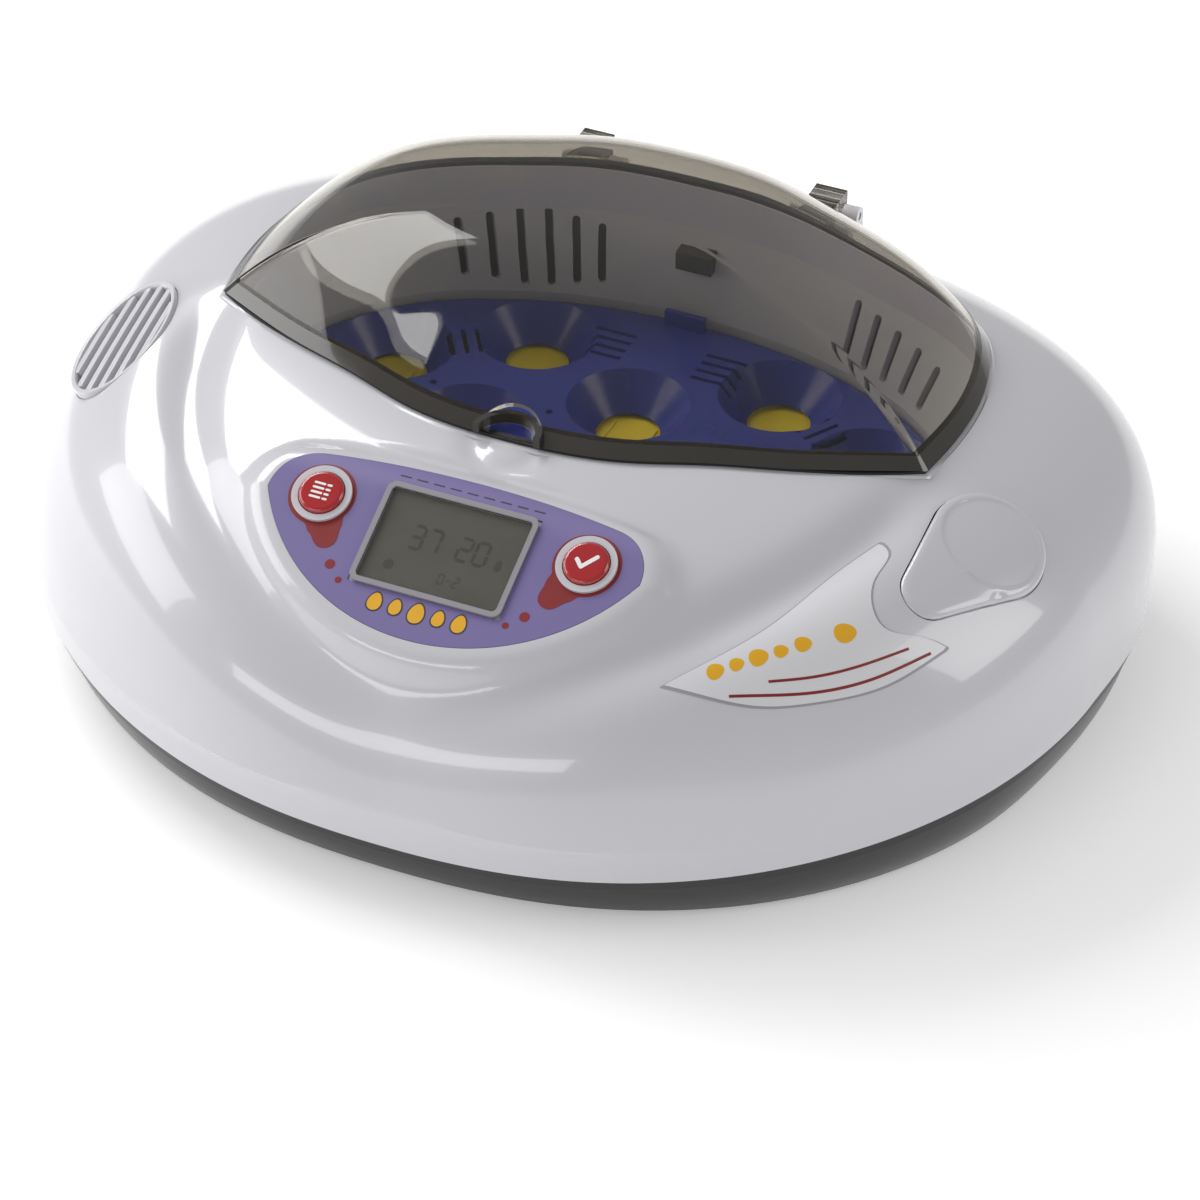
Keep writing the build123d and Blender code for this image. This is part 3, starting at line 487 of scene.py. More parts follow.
# ---------------------------------------------------------------- finishes
def shader_node(tree, kind, inputs, **settings):
    """Adds a node, sets its options and fills its inputs from sockets or plain values."""
    node = tree.nodes.new(kind)
    for key, value in settings.items():
        setattr(node, key, value)
    for key, value in inputs.items():
        if isinstance(value, bpy.types.NodeSocket):
            tree.links.new(value, node.inputs[key])
        else:
            node.inputs[key].default_value = value
    return node


def moulded_group():
    """Cloudy tone, uneven polish and fine grain of a moulded or printed surface."""
    if "moulded" in bpy.data.node_groups:
        return bpy.data.node_groups["moulded"]
    group = bpy.data.node_groups.new("moulded", "ShaderNodeTree")
    for label, kind, default in (
        ("Colour", "NodeSocketColor", (0.8, 0.8, 0.8, 1)),
        ("Tone", "NodeSocketFloat", 0.04),
        ("Tone scale", "NodeSocketFloat", 12.0),
        ("Roughness", "NodeSocketFloat", 0.3),
        ("Polish", "NodeSocketFloat", 0.05),
        ("Grain", "NodeSocketFloat", 0.02),
        ("Grain scale", "NodeSocketFloat", 900.0),
    ):
        item = group.interface.new_socket(label, in_out="INPUT", socket_type=kind)
        item.default_value = default
    for label, kind in (("Colour", "Color"), ("Roughness", "Float"), ("Normal", "Vector")):
        group.interface.new_socket(label, in_out="OUTPUT", socket_type=f"NodeSocket{kind}")
    given = group.nodes.new("NodeGroupInput").outputs
    spot = group.nodes.new("ShaderNodeTexCoord").outputs["Object"]
    cloud = shader_node(group, "ShaderNodeTexNoise",
                        {"Detail": 3.0, "Vector": spot, "Scale": given["Tone scale"]})
    centred = shader_node(group, "ShaderNodeMath", {0: cloud.outputs["Fac"], 1: 0.5},
                          operation="SUBTRACT").outputs[0]
    amount = shader_node(group, "ShaderNodeMath", {0: centred, 1: given["Tone"], 2: 1.0},
                         operation="MULTIPLY_ADD")
    tinted = shader_node(group, "ShaderNodeVectorMath",
                         {0: given["Colour"], "Scale": amount.outputs[0]}, operation="SCALE")
    polish = shader_node(group, "ShaderNodeMath",
                         {0: centred, 1: given["Polish"], 2: given["Roughness"]},
                         operation="MULTIPLY_ADD")
    grain = shader_node(group, "ShaderNodeTexNoise",
                        {"Detail": 2.0, "Vector": spot, "Scale": given["Grain scale"]})
    bump = shader_node(group, "ShaderNodeBump", {
        "Distance": 0.0002, "Height": grain.outputs["Fac"], "Strength": given["Grain"]})
    shader_node(group, "NodeGroupOutput", {
        "Colour": tinted.outputs[0], "Roughness": polish.outputs[0], "Normal": bump.outputs["Normal"]})
    return group


def base_material(name, values):
    """New material with the shared group wired into its Principled shader, all but the normal."""
    material = bpy.data.materials.new(name)
    material.use_nodes = True
    tree = material.node_tree
    shader = tree.nodes["Principled BSDF"]
    group = tree.nodes.new("ShaderNodeGroup")
    group.node_tree = moulded_group()
    for label, value in values.items():
        group.inputs[label].default_value = value
    tree.links.new(group.outputs["Colour"], shader.inputs["Base Color"])
    tree.links.new(group.outputs["Roughness"], shader.inputs["Roughness"])
    return material, tree, shader, group


def finish(name, base, tone=0.05, tone_scale=14.0, roughness=0.3, polish=0.08, grain=0.03,
           grain_scale=1400.0, **shader_values):
    """Material of a moulded, printed or metal surface."""
    name = f"incubator_{name}"
    if name in bpy.data.materials:
        return bpy.data.materials[name]
    values = {"Colour": (*base, 1), "Tone": tone, "Tone scale": tone_scale, "Roughness": roughness,
              "Polish": polish, "Grain": grain, "Grain scale": grain_scale}
    material, tree, shader, group = base_material(name, values)
    tree.links.new(group.outputs["Normal"], shader.inputs["Normal"])
    for label, value in shader_values.items():
        shader.inputs[label.replace("_", " ").title()].default_value = value
    return material


def glass(name, tint, roughness, ior=1.4, shadow=None):
    """Clear or smoked plastic: a Principled shader that lets lamp light through as a tint."""
    name = f"incubator_{name}"
    if name in bpy.data.materials:
        return bpy.data.materials[name]
    material, tree, shader, _ = base_material(name, {
        "Colour": (*tint, 1), "Tone": 0.05, "Roughness": roughness, "Polish": roughness, "Grain": 0.0})
    shader.inputs["Transmission Weight"].default_value = 1.0
    shader.inputs["IOR"].default_value = ior
    clear = shader_node(tree, "ShaderNodeBsdfTransparent", {"Color": (*(shadow or tint), 1)})
    path = tree.nodes.new("ShaderNodeLightPath")
    mix = shader_node(tree, "ShaderNodeMixShader", {
        "Fac": path.outputs["Is Shadow Ray"], 1: shader.outputs["BSDF"], 2: clear.outputs["BSDF"]})
    tree.links.new(mix.outputs["Shader"], tree.nodes["Material Output"].inputs["Surface"])
    return material


def pearl():
    tone = bpy.context.scene.incubator_colours
    return finish("pearl_white", tone.housing, tone=0.035, tone_scale=6.0, roughness=0.24, polish=0.06,
                  grain=0.012, grain_scale=2600.0, coat_weight=0.8, coat_roughness=0.05)


def red_cap():
    tone = bpy.context.scene.incubator_colours
    return finish("key_red", tone.red, tone=0.10, tone_scale=60.0, roughness=0.22, grain=0.02,
                  coat_weight=1.0, coat_roughness=0.03)


def lip_finish():
    return finish("window_lip", (0.035, 0.030, 0.024), tone=0.3, tone_scale=40.0, roughness=0.12,
                  grain=0.01, coat_weight=0.6)


def printed(name, base, roughness=0.45):
    return finish(name, base, tone=0.10, tone_scale=160.0, roughness=roughness, grain=0.05)


def slot_finishes():
    """The finish of each material slot, for the CAD nodes that are shown as they are."""
    tone = bpy.context.scene.incubator_colours
    dark = (0.014, 0.014, 0.015)
    return {
        "base_plastic": finish("base_dark", tone.base, tone=0.25, tone_scale=9.0, roughness=0.30,
                               polish=0.15, grain=0.05, coat_weight=0.25, coat_roughness=0.12),
        "housing_plastic": pearl(),
        "liner_plastic": finish("liner_grey", tone.liner, tone=0.05, roughness=0.38, grain=0.04),
        "window_smoke": glass("window_smoke", tone.smoke, 0.02, shadow=(0.84, 0.82, 0.79)),
        "seal_rubber": finish("seal_rubber", (0.02, 0.02, 0.021), tone=0.3, roughness=0.6, grain=0.2),
        "foot_rubber": finish("foot_rubber", (0.02, 0.02, 0.02), tone=0.3, roughness=0.75, grain=0.3),
        "tray_blue": finish("tray_blue", tone.tray, tone=0.12, tone_scale=22.0, roughness=0.26,
                            grain=0.04, coat_weight=0.3, coat_roughness=0.1),
        "plate_yellow": finish("plate_yellow", tone.plate, tone=0.08, roughness=0.5, grain=0.08),
        "water_plastic": finish("water_pan", (0.62, 0.64, 0.66), roughness=0.35, grain=0.03),
        "frame_plastic": finish("frame_grey", (0.30, 0.31, 0.33), roughness=0.5, grain=0.1),
        "panel_film": finish("panel_film", tone.film, tone=0.05, tone_scale=30.0, roughness=0.42,
                             polish=0.05, grain=0.04, grain_scale=3000.0),
        "lcd_bezel": finish("lcd_bezel", (0.36, 0.34, 0.37), tone=0.06, roughness=0.3, grain=0.04,
                            metallic=0.25, coat_weight=0.3),
        "lcd_glass": glass("lcd_glass", (0.93, 0.93, 0.92), 0.03),
        "lcd_cell": finish("lcd_cell", tone.lcd, tone=0.22, tone_scale=60.0, roughness=0.35, grain=0.02),
        "button_red": red_cap(),
        "board_green": finish("board_green", (0.02, 0.10, 0.04), tone=0.3, tone_scale=90.0,
                              roughness=0.35, grain=0.06),
        "component_black": finish("component_black", dark, tone=0.3, roughness=0.5, grain=0.15),
        "steel": finish("pin_steel", (0.55, 0.55, 0.56), roughness=0.28, grain=0.05, metallic=1.0),
        "motor_steel": finish("motor_steel", (0.42, 0.43, 0.44), roughness=0.4, grain=0.1, metallic=1.0),
        "gear_nylon": finish("gear_nylon", (0.72, 0.70, 0.62), roughness=0.5, grain=0.08),
        "fan_black": finish("fan_black", dark, tone=0.25, roughness=0.42, grain=0.1),
        "heater_mica": finish("heater_mica", (0.36, 0.26, 0.14), tone=0.5, tone_scale=70.0,
                              roughness=0.55, grain=0.25),
        "label_film": finish("label_film", (0.74, 0.74, 0.77), tone=0.03, roughness=0.3, grain=0.03,
                             coat_weight=0.4),
        "sensor_dark": finish("sensor_dark", (0.05, 0.05, 0.045), tone=0.3, roughness=0.5, grain=0.2),
    }


# ---------------------------------------------------------------- housing
def moat_offset(x, y):
    """Rise or fall of the hull along its normal: a moat on the curve |x/a|^p + |y/b|^p = 1 round
    the panel, a low shoulder outside it, and a shallow scoop in front of the finger notch."""
    shell = bpy.context.scene.incubator_shell
    g = (np.abs(x / 0.133) ** 1.75 + np.abs(y / 0.141) ** 1.75) ** (1 / 1.75)
    d = (g - 1) * 0.137
    fade = smoothstep((0.022 - y) / 0.055)
    moat = -shell.groove * np.exp(-((d / shell.groove_width) ** 2))
    outside = shell.shoulder * np.exp(-(((d - 0.024) / 0.013) ** 2))
    from_notch = np.hypot(x - NOTCH_XY[0], y - NOTCH_XY[1])
    scoop = -0.0011 * np.exp(-(((from_notch - 0.0115) / 0.0042) ** 2)) * smoothstep((-0.044 - y) / 0.003)
    return (moat + outside) * fade + scoop


def panel_flatten(points):
    """Moves points near the panel along the panel's normal onto its surface, fading out round it."""
    panel = panel_spot()
    u, v, h = panel.read(points)
    line = panel_outline()
    centre = np.array([0.0, -0.003])
    polar = np.arctan2(line[:, 1] - centre[1], line[:, 0] - centre[0])
    reach = np.hypot(line[:, 0] - centre[0], line[:, 1] - centre[1])
    order = np.argsort(polar)
    edge = np.interp(np.arctan2(v - centre[1], u - centre[0]), polar[order], reach[order],
                     period=2 * np.pi)
    outside = np.hypot(u - centre[0], v - centre[1]) - edge
    weight = 1 - smoothstep((outside - 0.002) / 0.0115)
    weight = weight * (np.abs(h) < 0.03)
    wanted = -0.4 * MM - panel_bend(v)
    return points + ((wanted - h) * weight)[..., None] * panel.normal


def grid_normals(points):
    """Unit normals of a grid whose columns wrap, turned upwards or outwards."""
    across = np.roll(points, -1, 1) - np.roll(points, 1, 1)
    down = np.gradient(points, axis=0)
    normal = np.cross(down, across)
    normal /= np.linalg.norm(normal, axis=-1, keepdims=True) + 1e-12
    return normal if normal[0, :, 2].mean() > 0 else -normal


def skin(x, y, lift=0.0):
    """Points on the finished housing above plan points, raised by lift along the normal."""
    x = np.asarray(x, float)
    y = np.asarray(y, float)
    step = 0.0004
    slope_x = (hull_height(x + step, y) - hull_height(x - step, y)) / (2 * step)
    slope_y = (hull_height(x, y + step) - hull_height(x, y - step)) / (2 * step)
    normal = np.stack([-slope_x, -slope_y, np.ones_like(x)], -1)
    normal /= np.linalg.norm(normal, axis=-1, keepdims=True)
    base = np.stack([x, y, hull_height(x, y)], -1)
    return panel_flatten(base + normal * moat_offset(x, y)[..., None]) + normal * lift


def hull_rows(outline, count):
    """Rows of hull points from an outline on the top down to the start of the upright side, evenly
    spaced along the profile t = sin(q)^(2/u), r = cos(q)^(2/o)."""
    shell = bpy.context.scene.incubator_shell
    angle, edge_rise = hull_coordinates(outline[:, 0], outline[:, 1])
    q = np.linspace(0, np.pi / 2, 900)
    rise = np.sin(q) ** (2 / shell.power_up)
    across = 0.175 * np.cos(q) ** (2 / shell.power_out)
    far = np.concatenate([[0], np.cumsum(np.hypot(np.diff(across), np.diff(rise * shell.dome)))])
    edge_far = np.interp(edge_rise, rise, far)
    share = np.linspace(1, 0, count)[:, None]
    return angle, hull_ring(angle[None, :], np.interp(edge_far[None, :] * share, far, rise))


def seam_height(x):
    shell = bpy.context.scene.incubator_shell
    return shell.seam + shell.seam_rise * (x / shell.half_width) ** 2


class INCUBATOR_OT_housing(bpy.types.Operator):
    """Upper housing: hull, moat, panel facet, window curb, vent hole and filler recess"""

    bl_idname = "incubator.housing"
    bl_label = "Upper housing"

    def execute(self, context):
        shell = context.scene.incubator_shell
        columns = context.scene.incubator_stage.spokes
        edge = window_outline(-1.6 * MM, columns)
        angle, top = hull_rows(edge, 98)
        side = top[-1]
        low = seam_height(side[:, 0])
        drops = []
        for share in (0.2, 0.45, 0.7, 0.9, 0.985):
            ring = side.copy()
            ring[:, 2] = side[:, 2] + (low - side[:, 2]) * share
            drops.append(ring)
        outer = np.concatenate([top, np.stack(drops)])
        normal = grid_normals(outer)
        offset = np.zeros(outer.shape[:2])
        rows = len(top)
        offset[:rows] = moat_offset(top[..., 0], top[..., 1])
        outer = panel_flatten(outer + normal * offset[..., None])
        normal = grid_normals(outer)
        bottom = outer[-1] - normal[-1] * 0.5 * MM
        bottom[:, 2] = low
        inner = (outer - normal * shell.wall)[::-5]
        inner[0, :, 2] = low
        curb = []
        for inset, drop in ((3.4, None), (3.4, 0.4), (3.0, 0.0), (0.4, 0.0), (-0.9, 0.0), (-1.6, 0.6)):
            line = move_in(window_outline(0.0, columns), inset * MM)
            height = rim_height(line[:, 0])
            height = 0.096 + 0 * height if drop is None else height - drop * MM
            if inset < 0:
                height = np.maximum(height, outer[0, :, 2] if inset < -1 else height)
            curb.append(np.stack([line[:, 0], line[:, 1], height], -1))
        rings = np.concatenate([np.stack(curb), outer, bottom[None], inner])
        mesh = clean(new_mesh("housing_shell", [rings], wrap_rows=True))
        obj = place("housing_shell", mesh, "housing", pearl(), ["upper_housing"])
        vent = vent_spot()
        q = np.linspace(0, 2 * np.pi, 64, endpoint=False)
        oval = np.stack([31.12 * MM * np.cos(q), 18.62 * MM * np.sin(q)], 1)
        pit = panel_outline(0.15 * MM)
        levels = []
        for share, height in ((0, 6), (1, 6), *((share, -0.95) for share in (1, 0.8, 0.6, 0.4, 0.2, 0))):
            uv = pit * share
            drop = panel_bend(uv[:, 1]) if height < 0 else 0.0
            levels.append(panel_spot().at(uv, height * MM - drop))
        cut(obj, [
            prism("vent_cut", vent, oval, -9 * MM, 9 * MM),
            prism("filler_cut", filler_spot(), drop_outline(0.35 * MM), -12 * MM, 12 * MM),
            clean(new_mesh("panel_cut", [np.stack(levels)])),
        ])
        self.recess_floor()
        return {"FINISHED"}

    def recess_floor(self):
        """Sunk floor under the filler cover, with the filler's bore in it."""
        spot = filler_spot()
        line = resample_closed(drop_outline(0.8 * MM), 96)
        bore = 0.008 * line / np.linalg.norm(line, axis=1, keepdims=True)
        rows = []
        for share, depth in ((0, 2.4), (0, 1.2), (0.3, 1.2), (0.6, 1.2), (1, 1.2), (1, 2.4), (0, 2.4)):
            flat = spot.at(bore + (line - bore) * share, 0.0)
            rows.append(skin(flat[:, 0], flat[:, 1], -depth * MM))
        mesh = clean(new_mesh("filler_recess", [np.stack(rows)]))
        place("filler_recess", mesh, "housing", pearl())


# ---------------------------------------------------------------- window
def dome_ring(outline, share, inset, top):
    """Ring of the window at a share of its height: plan points move to (0, 62) by
    (1 - share)^(1/power), and height runs from the bowed rim to the top."""
    window = bpy.context.scene.incubator_window
    x = outline[:, 0]
    dy = outline[:, 1] - WINDOW_CENTRE_Y
    rim = rim_height(x)
    power = window.power + window.lean * dy / np.hypot(x, dy)
    power = power - window.ease * (rim - RIM_MIDDLE + RIM_DROP)
    scale = (1 - share) ** (1 / power)
    plan = np.stack([x * scale, WINDOW_CENTRE_Y + dy * scale], -1)
    plan = move_in(plan, inset)
    start = rim + window.seal + 0.3 * MM
    height = start + (top - start) * (1.047 * share - 0.047 * share**8)
    return np.concatenate([plan, height[:, None]], 1)


def dome_rows(outline, inset, top, angles):
    return np.stack([dome_ring(outline, math.sin(a) ** 2, inset, top) for a in angles])


class INCUBATOR_OT_window(bpy.types.Operator):
    """Smoked window: double-walled dome, dark lower lip, finger notch floor and grip"""

    bl_idname = "incubator.window"
    bl_label = "Smoked window"

    def execute(self, context):
        window = context.scene.incubator_window
        outline = window_outline(0.0, 330)
        angles = np.linspace(0, math.pi / 2, 60)
        outer = dome_rows(outline, 0.0, window.top - 0.05 * MM, angles)
        inner = dome_rows(outline, window.wall, window.top - window.wall, angles)
        mesh = clean(new_mesh("window_dome_shell", [np.concatenate([inner[::-1], outer])]))
        smoke = slot_finishes()["window_smoke"]
        dome = place("window_dome_shell", mesh, "window", smoke, ["window_dome"])
        notch = Spot((NOTCH_XY[0], NOTCH_XY[1], 0), (1, 0, 0), (0, 0, 1))
        hole = prism("notch_cut", notch, circle(0.01252, 64), 0.1, 0.16)
        cut(dome, [hole])
        self.lip(outline, window, notch)
        self.floor(notch)
        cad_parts["window_grip"].material_slots[0].material = lip_finish()
        return {"FINISHED"}

    def lip(self, outline, window, notch):
        """Solid dark lip along the window's lower edge, a hair proud of both walls."""
        angles = [0.0, 0.09, 0.18, 0.27, 0.33]
        outer = dome_rows(outline, -0.1 * MM, window.top, angles)
        inner = dome_rows(outline, window.wall + 0.6 * MM, window.top - window.wall, angles)
        rings = np.concatenate([outer, inner[::-1]])
        mesh = clean(new_mesh("window_lip", [rings], wrap_rows=True))
        lip = place("window_lip", mesh, "window", lip_finish())
        hole = prism("lip_cut", notch, circle(0.0126, 64), 0.1, 0.16)
        cut(lip, [hole])

    def floor(self, notch):
        """Thin clear floor of the finger notch, cut off along the window's front edge."""
        ring = circle(0.0101, 72)
        ring[:, 1] = np.maximum(ring[:, 1], 0.0012 + 0.12 * np.abs(ring[:, 0]))
        base = RIM_MIDDLE + 1.5 * MM
        rows = stack(notch, ring, (0.0, 0.005), [(0, base), (1, base), (1, base + 0.4 * MM),
                                                 (0, base + 0.4 * MM)])
        mesh = clean(new_mesh("notch_floor", [rows]))
        place("notch_floor", mesh, "window", slot_finishes()["window_smoke"])


# ---------------------------------------------------------------- prints and keys
def print_piece(name, grids, material, body="housing"):
    """One thin printed layer made of any number of pads."""
    return place(name, clean(new_mesh(name, grids)), body, material)


def egg_line(length_, width, turn, centre, count=40):
    """Egg outline: x = length cos q, y = width sin q (1 - 0.18 cos q), turned by an angle."""
    q = np.linspace(0, 2 * np.pi, count, endpoint=False)
    x = length_ * np.cos(q)
    y = width * np.sin(q) * (1 - 0.18 * np.cos(q))
    c, s = math.cos(turn), math.sin(turn)
    return np.stack([centre[0] + c * x - s * y, centre[1] + s * x + c * y], 1)


def bar_line(a, b, half, count=10):
    """Outline of a straight bar with round ends, from a to b."""
    a = np.array(a, float)
    b = np.array(b, float)
    turn = math.atan2(*(b - a)[::-1])
    q = np.linspace(-np.pi / 2, np.pi / 2, count)
    ends = []
    for centre, start in ((b, turn), (a, turn + np.pi)):
        ends.append(centre + half * np.stack([np.cos(q + start), np.sin(q + start)], 1))
    return np.concatenate(ends)


def ring_print(side):
    """Print round a key: a disc with a short tail that ends in a round drop."""
    panel = bpy.context.scene.incubator_panel
    centre = np.array([side * panel.key_u, panel.key_v])
    end = np.array([side * 0.0417, -0.0067])
    q = np.linspace(0, 2 * np.pi, 120, endpoint=False)
    ray = np.stack([np.cos(q), np.sin(q)], 1)
    reach = 0.0119 + 0 * q
    along = (end - centre) / np.linalg.norm(end - centre)
    gap = np.linalg.norm(end - centre)
    cosine = ray @ along
    sine = np.abs(ray[:, 0] * along[1] - ray[:, 1] * along[0])
    inside = (0.0046**2 - (gap * sine) ** 2) > 0
    tail = gap * cosine + np.sqrt(np.clip(0.0046**2 - (gap * sine) ** 2, 0, None))
    neck = 0.0062 / np.clip(sine, 0.25, None)
    wide = np.where((cosine > 0.6) & ~inside, np.minimum(neck, 0.0150), 0)
    reach = np.maximum(reach, np.where(inside & (cosine > 0), tail, wide))
    kernel = np.array([1, 2, 1]) / 4
    for _ in range(2):
        reach = kernel[0] * np.roll(reach, 1) + kernel[1] * reach + kernel[2] * np.roll(reach, -1)
    return centre, centre + ray * reach[:, None]


class INCUBATOR_OT_prints(bpy.types.Operator):
    """Prints on the panel film: key surrounds, dots, row of egg marks and a dash line"""

    bl_idname = "incubator.prints"
    bl_label = "Panel prints"

    def execute(self, context):
        panel = panel_spot()
        tone = context.scene.incubator_colours
        red = printed("print_red", tone.print_red)
        dark = printed("print_dark", (0.05, 0.035, 0.05))

        def layer(outline, centre=None, low=-0.05, high=0.10):
            """Thin ink layer from low to high millimetres over the film."""
            return pad(panel, outline, FILM_TOP + low * MM, FILM_TOP + high * MM, centre, True, 0.03 * MM)

        surrounds = [ring_print(side) for side in (-1, 1)]
        print_piece("key_surrounds", [layer(line, centre) for centre, line in surrounds], red)
        dots = [layer(circle(radius * MM, 32, (side * u * MM, v * MM)))
                for side in (-1, 1) for u, v, radius in ((35.9, -16.0, 1.8), (30.8, -20.8, 1.2))]
        print_piece("panel_dots", dots, red)
        rims, marks = [], []
        for u, size in ((-15.5, 3.3), (-7.9, 2.9), (0, 3.7), (7.9, 2.9), (15.5, 3.3)):
            centre = (u * MM, (-24.8 - 0.0012 * (18 - abs(u)) ** 2) * MM)
            rim = egg_line((size + 0.55) * MM, (size * 0.74 + 0.5) * MM, UPRIGHT, centre)
            rims.append(layer(rim, centre, high=0.08))
            mark = egg_line(size * MM, size * 0.74 * MM, UPRIGHT, centre)
            marks.append(layer(mark, centre, 0.0, 0.13))
        print_piece("egg_mark_rims", rims, dark)
        print_piece("egg_marks", marks, printed("print_yellow", tone.yellow))
        dashes = []
        for k in range(9):
            u = (-26 + 6.2 * k) * MM
            dashes.append(layer(bar_line((u, 23.2 * MM), (u + 3.6 * MM, 23.2 * MM), 0.28 * MM), high=0.08))
        print_piece("panel_dashes", dashes, dark)
        self.key_icons(panel)
        self.display(panel)
        return {"FINISHED"}

    def key_icons(self, panel):
        """Raised white marks: four list bars on the left key, a tick on the right key."""
        keys = bpy.context.scene.incubator_panel
        white = finish("key_icon", (0.92, 0.92, 0.92), tone=0.03, tone_scale=60.0, roughness=0.4)
        low, high = 2.30 * MM, 2.48 * MM
        bars = []
        for k in range(4):
            v = keys.key_v + (2.7 - 1.8 * k) * MM
            for u0, u1 in ((-2.9, 0.6), (1.9, 3.0)):
                line = bar_line((-keys.key_u + u0 * MM, v), (-keys.key_u + u1 * MM, v), 0.42 * MM)
                bars.append(pad(panel, line, low, high))
        print_piece("list_icon", bars, white, "select_key")
        tick = []
        for a, b in (((-3.2, 0.2), (-0.9, -2.2)), ((-0.9, -2.2), (3.3, 2.7))):
            line = bar_line([keys.key_u + a[0] * MM, keys.key_v + a[1] * MM],
                            [keys.key_u + b[0] * MM, keys.key_v + b[1] * MM], 0.75 * MM)
            tick.append(pad(panel, line, low, high + (0.02 * MM if a[0] > -2 else 0)))
        print_piece("tick_icon", tick, white, "confirm_key")

    def display(self, panel):
        """Faint seven-segment digits, a ring and a drop inside the display."""
        seen = finish("lcd_digits", (0.022, 0.021, 0.020), tone=0.2, tone_scale=90.0, roughness=0.4)
        base = -0.74 * MM
        bars = []

        def segments(text, u, v, height):
            lit = {"0": "abcdef", "2": "abged", "3": "abgcd", "7": "abc", "-": "g"}
            wide = height * 0.5
            for number_, sign in enumerate(text):
                left = u + number_ * height * 0.72
                ends = {
                    "a": ((0, 1), (1, 1)), "b": ((1, 1), (1, 0.5)), "c": ((1, 0.5), (1, 0)),
                    "d": ((0, 0), (1, 0)), "e": ((0, 0.5), (0, 0)), "f": ((0, 1), (0, 0.5)),
                    "g": ((0, 0.5), (1, 0.5)),
                }
                for segment in lit[sign]:
                    a, b = (np.array([left + p[0] * wide, v + p[1] * height]) for p in ends[segment])
                    gap = (b - a) / np.linalg.norm(b - a) * height * 0.10
                    bars.append(pad(panel, bar_line((a + gap) * MM, (b - gap) * MM, height * 0.07 * MM, 6),
                                    base, base + 0.02 * MM, edge=0.01 * MM))

        segments("37", -13, -2.4, 8.5)
        segments("20", 4.5, -2.4, 8.5)
        segments("0-2", 2.0, -12.6, 3.8)
        ring = circle(1.9 * MM, 40, (-16.6 * MM, -10.3 * MM))
        bars.append(pad(panel, ring, base, base + 0.02 * MM, edge=0.01 * MM))
        drop = egg_line(2.2 * MM, 1.3 * MM, UPRIGHT, (20 * MM, -0.7 * MM))
        bars.append(pad(panel, drop, base, base + 0.02 * MM, edge=0.01 * MM))
        print_piece("lcd_digits", bars, seen)


# ---------------------------------------------------------------- vent, filler cover, side label
class INCUBATOR_OT_vent(bpy.types.Operator):
    """Vent grille: oval pan with long ribs between slots, darkened by a near-black sheet of painted shade under
    them
    """

    bl_idname = "incubator.vent"
    bl_label = "Vent grille"

    def execute(self, context):
        spot = vent_spot()
        half_u, half_v = 30.9 * MM, 18.4 * MM
        q = np.linspace(0, 2 * np.pi, 120, endpoint=False)
        oval = np.stack([half_u * np.cos(q), half_v * np.sin(q)], 1)
        rows = []
        for share, height in ((0.90, -3.4), (1.0, -3.4), (1.0, -0.3), (0.985, 0.25), (0.955, 0.35),
                              (0.925, 0.15), (0.905, -0.5), (0.90, -1.4)):
            rows.append(spot.at(oval * share, height * MM))
        rim = clean(new_mesh("vent_rim", [np.stack(rows)], wrap_rows=True))
        place("vent_rim", rim, "housing", pearl(), ["vent_grille"])
        ribs = []
        for k in range(6):
            v = (-14.2 + 5.68 * k) * MM
            reach = half_u * 0.915 * math.sqrt(max(0.0, 1 - (v / (half_v * 0.94)) ** 2))
            u = np.linspace(-reach, reach, 40)
            profile = [(-1.55, -3.2), (1.55, -3.2), (1.50, -0.9), (1.15, -0.25), (0.0, 0.0),
                       (-1.15, -0.25), (-1.50, -0.9)]
            bow = -0.5 * MM * (u / half_u) ** 2
            ring = np.stack([spot.at(np.stack([u, v + dv * MM + 0 * u], 1), dh * MM + bow)
                             for dv, dh in profile], 1)
            closed_ring = np.concatenate([ring[:1].mean(1, keepdims=True).repeat(len(profile), 1), ring,
                                          ring[-1:].mean(1, keepdims=True).repeat(len(profile), 1)])
            ribs.append(closed_ring)
        print_piece("vent_ribs", ribs, pearl())
        # Painted shade: a near-black floor just under the ribs stands in for the shaded inside seen through the
        # slots.
        back = finish("painted_vent_shade", (0.012, 0.012, 0.013), tone=0.3, roughness=0.7, grain=0.2)
        floor = pad(spot, oval * 0.93, -4.0 * MM, -3.0 * MM)
        print_piece("vent_painted_shade_floor", [floor], back)
        return {"FINISHED"}


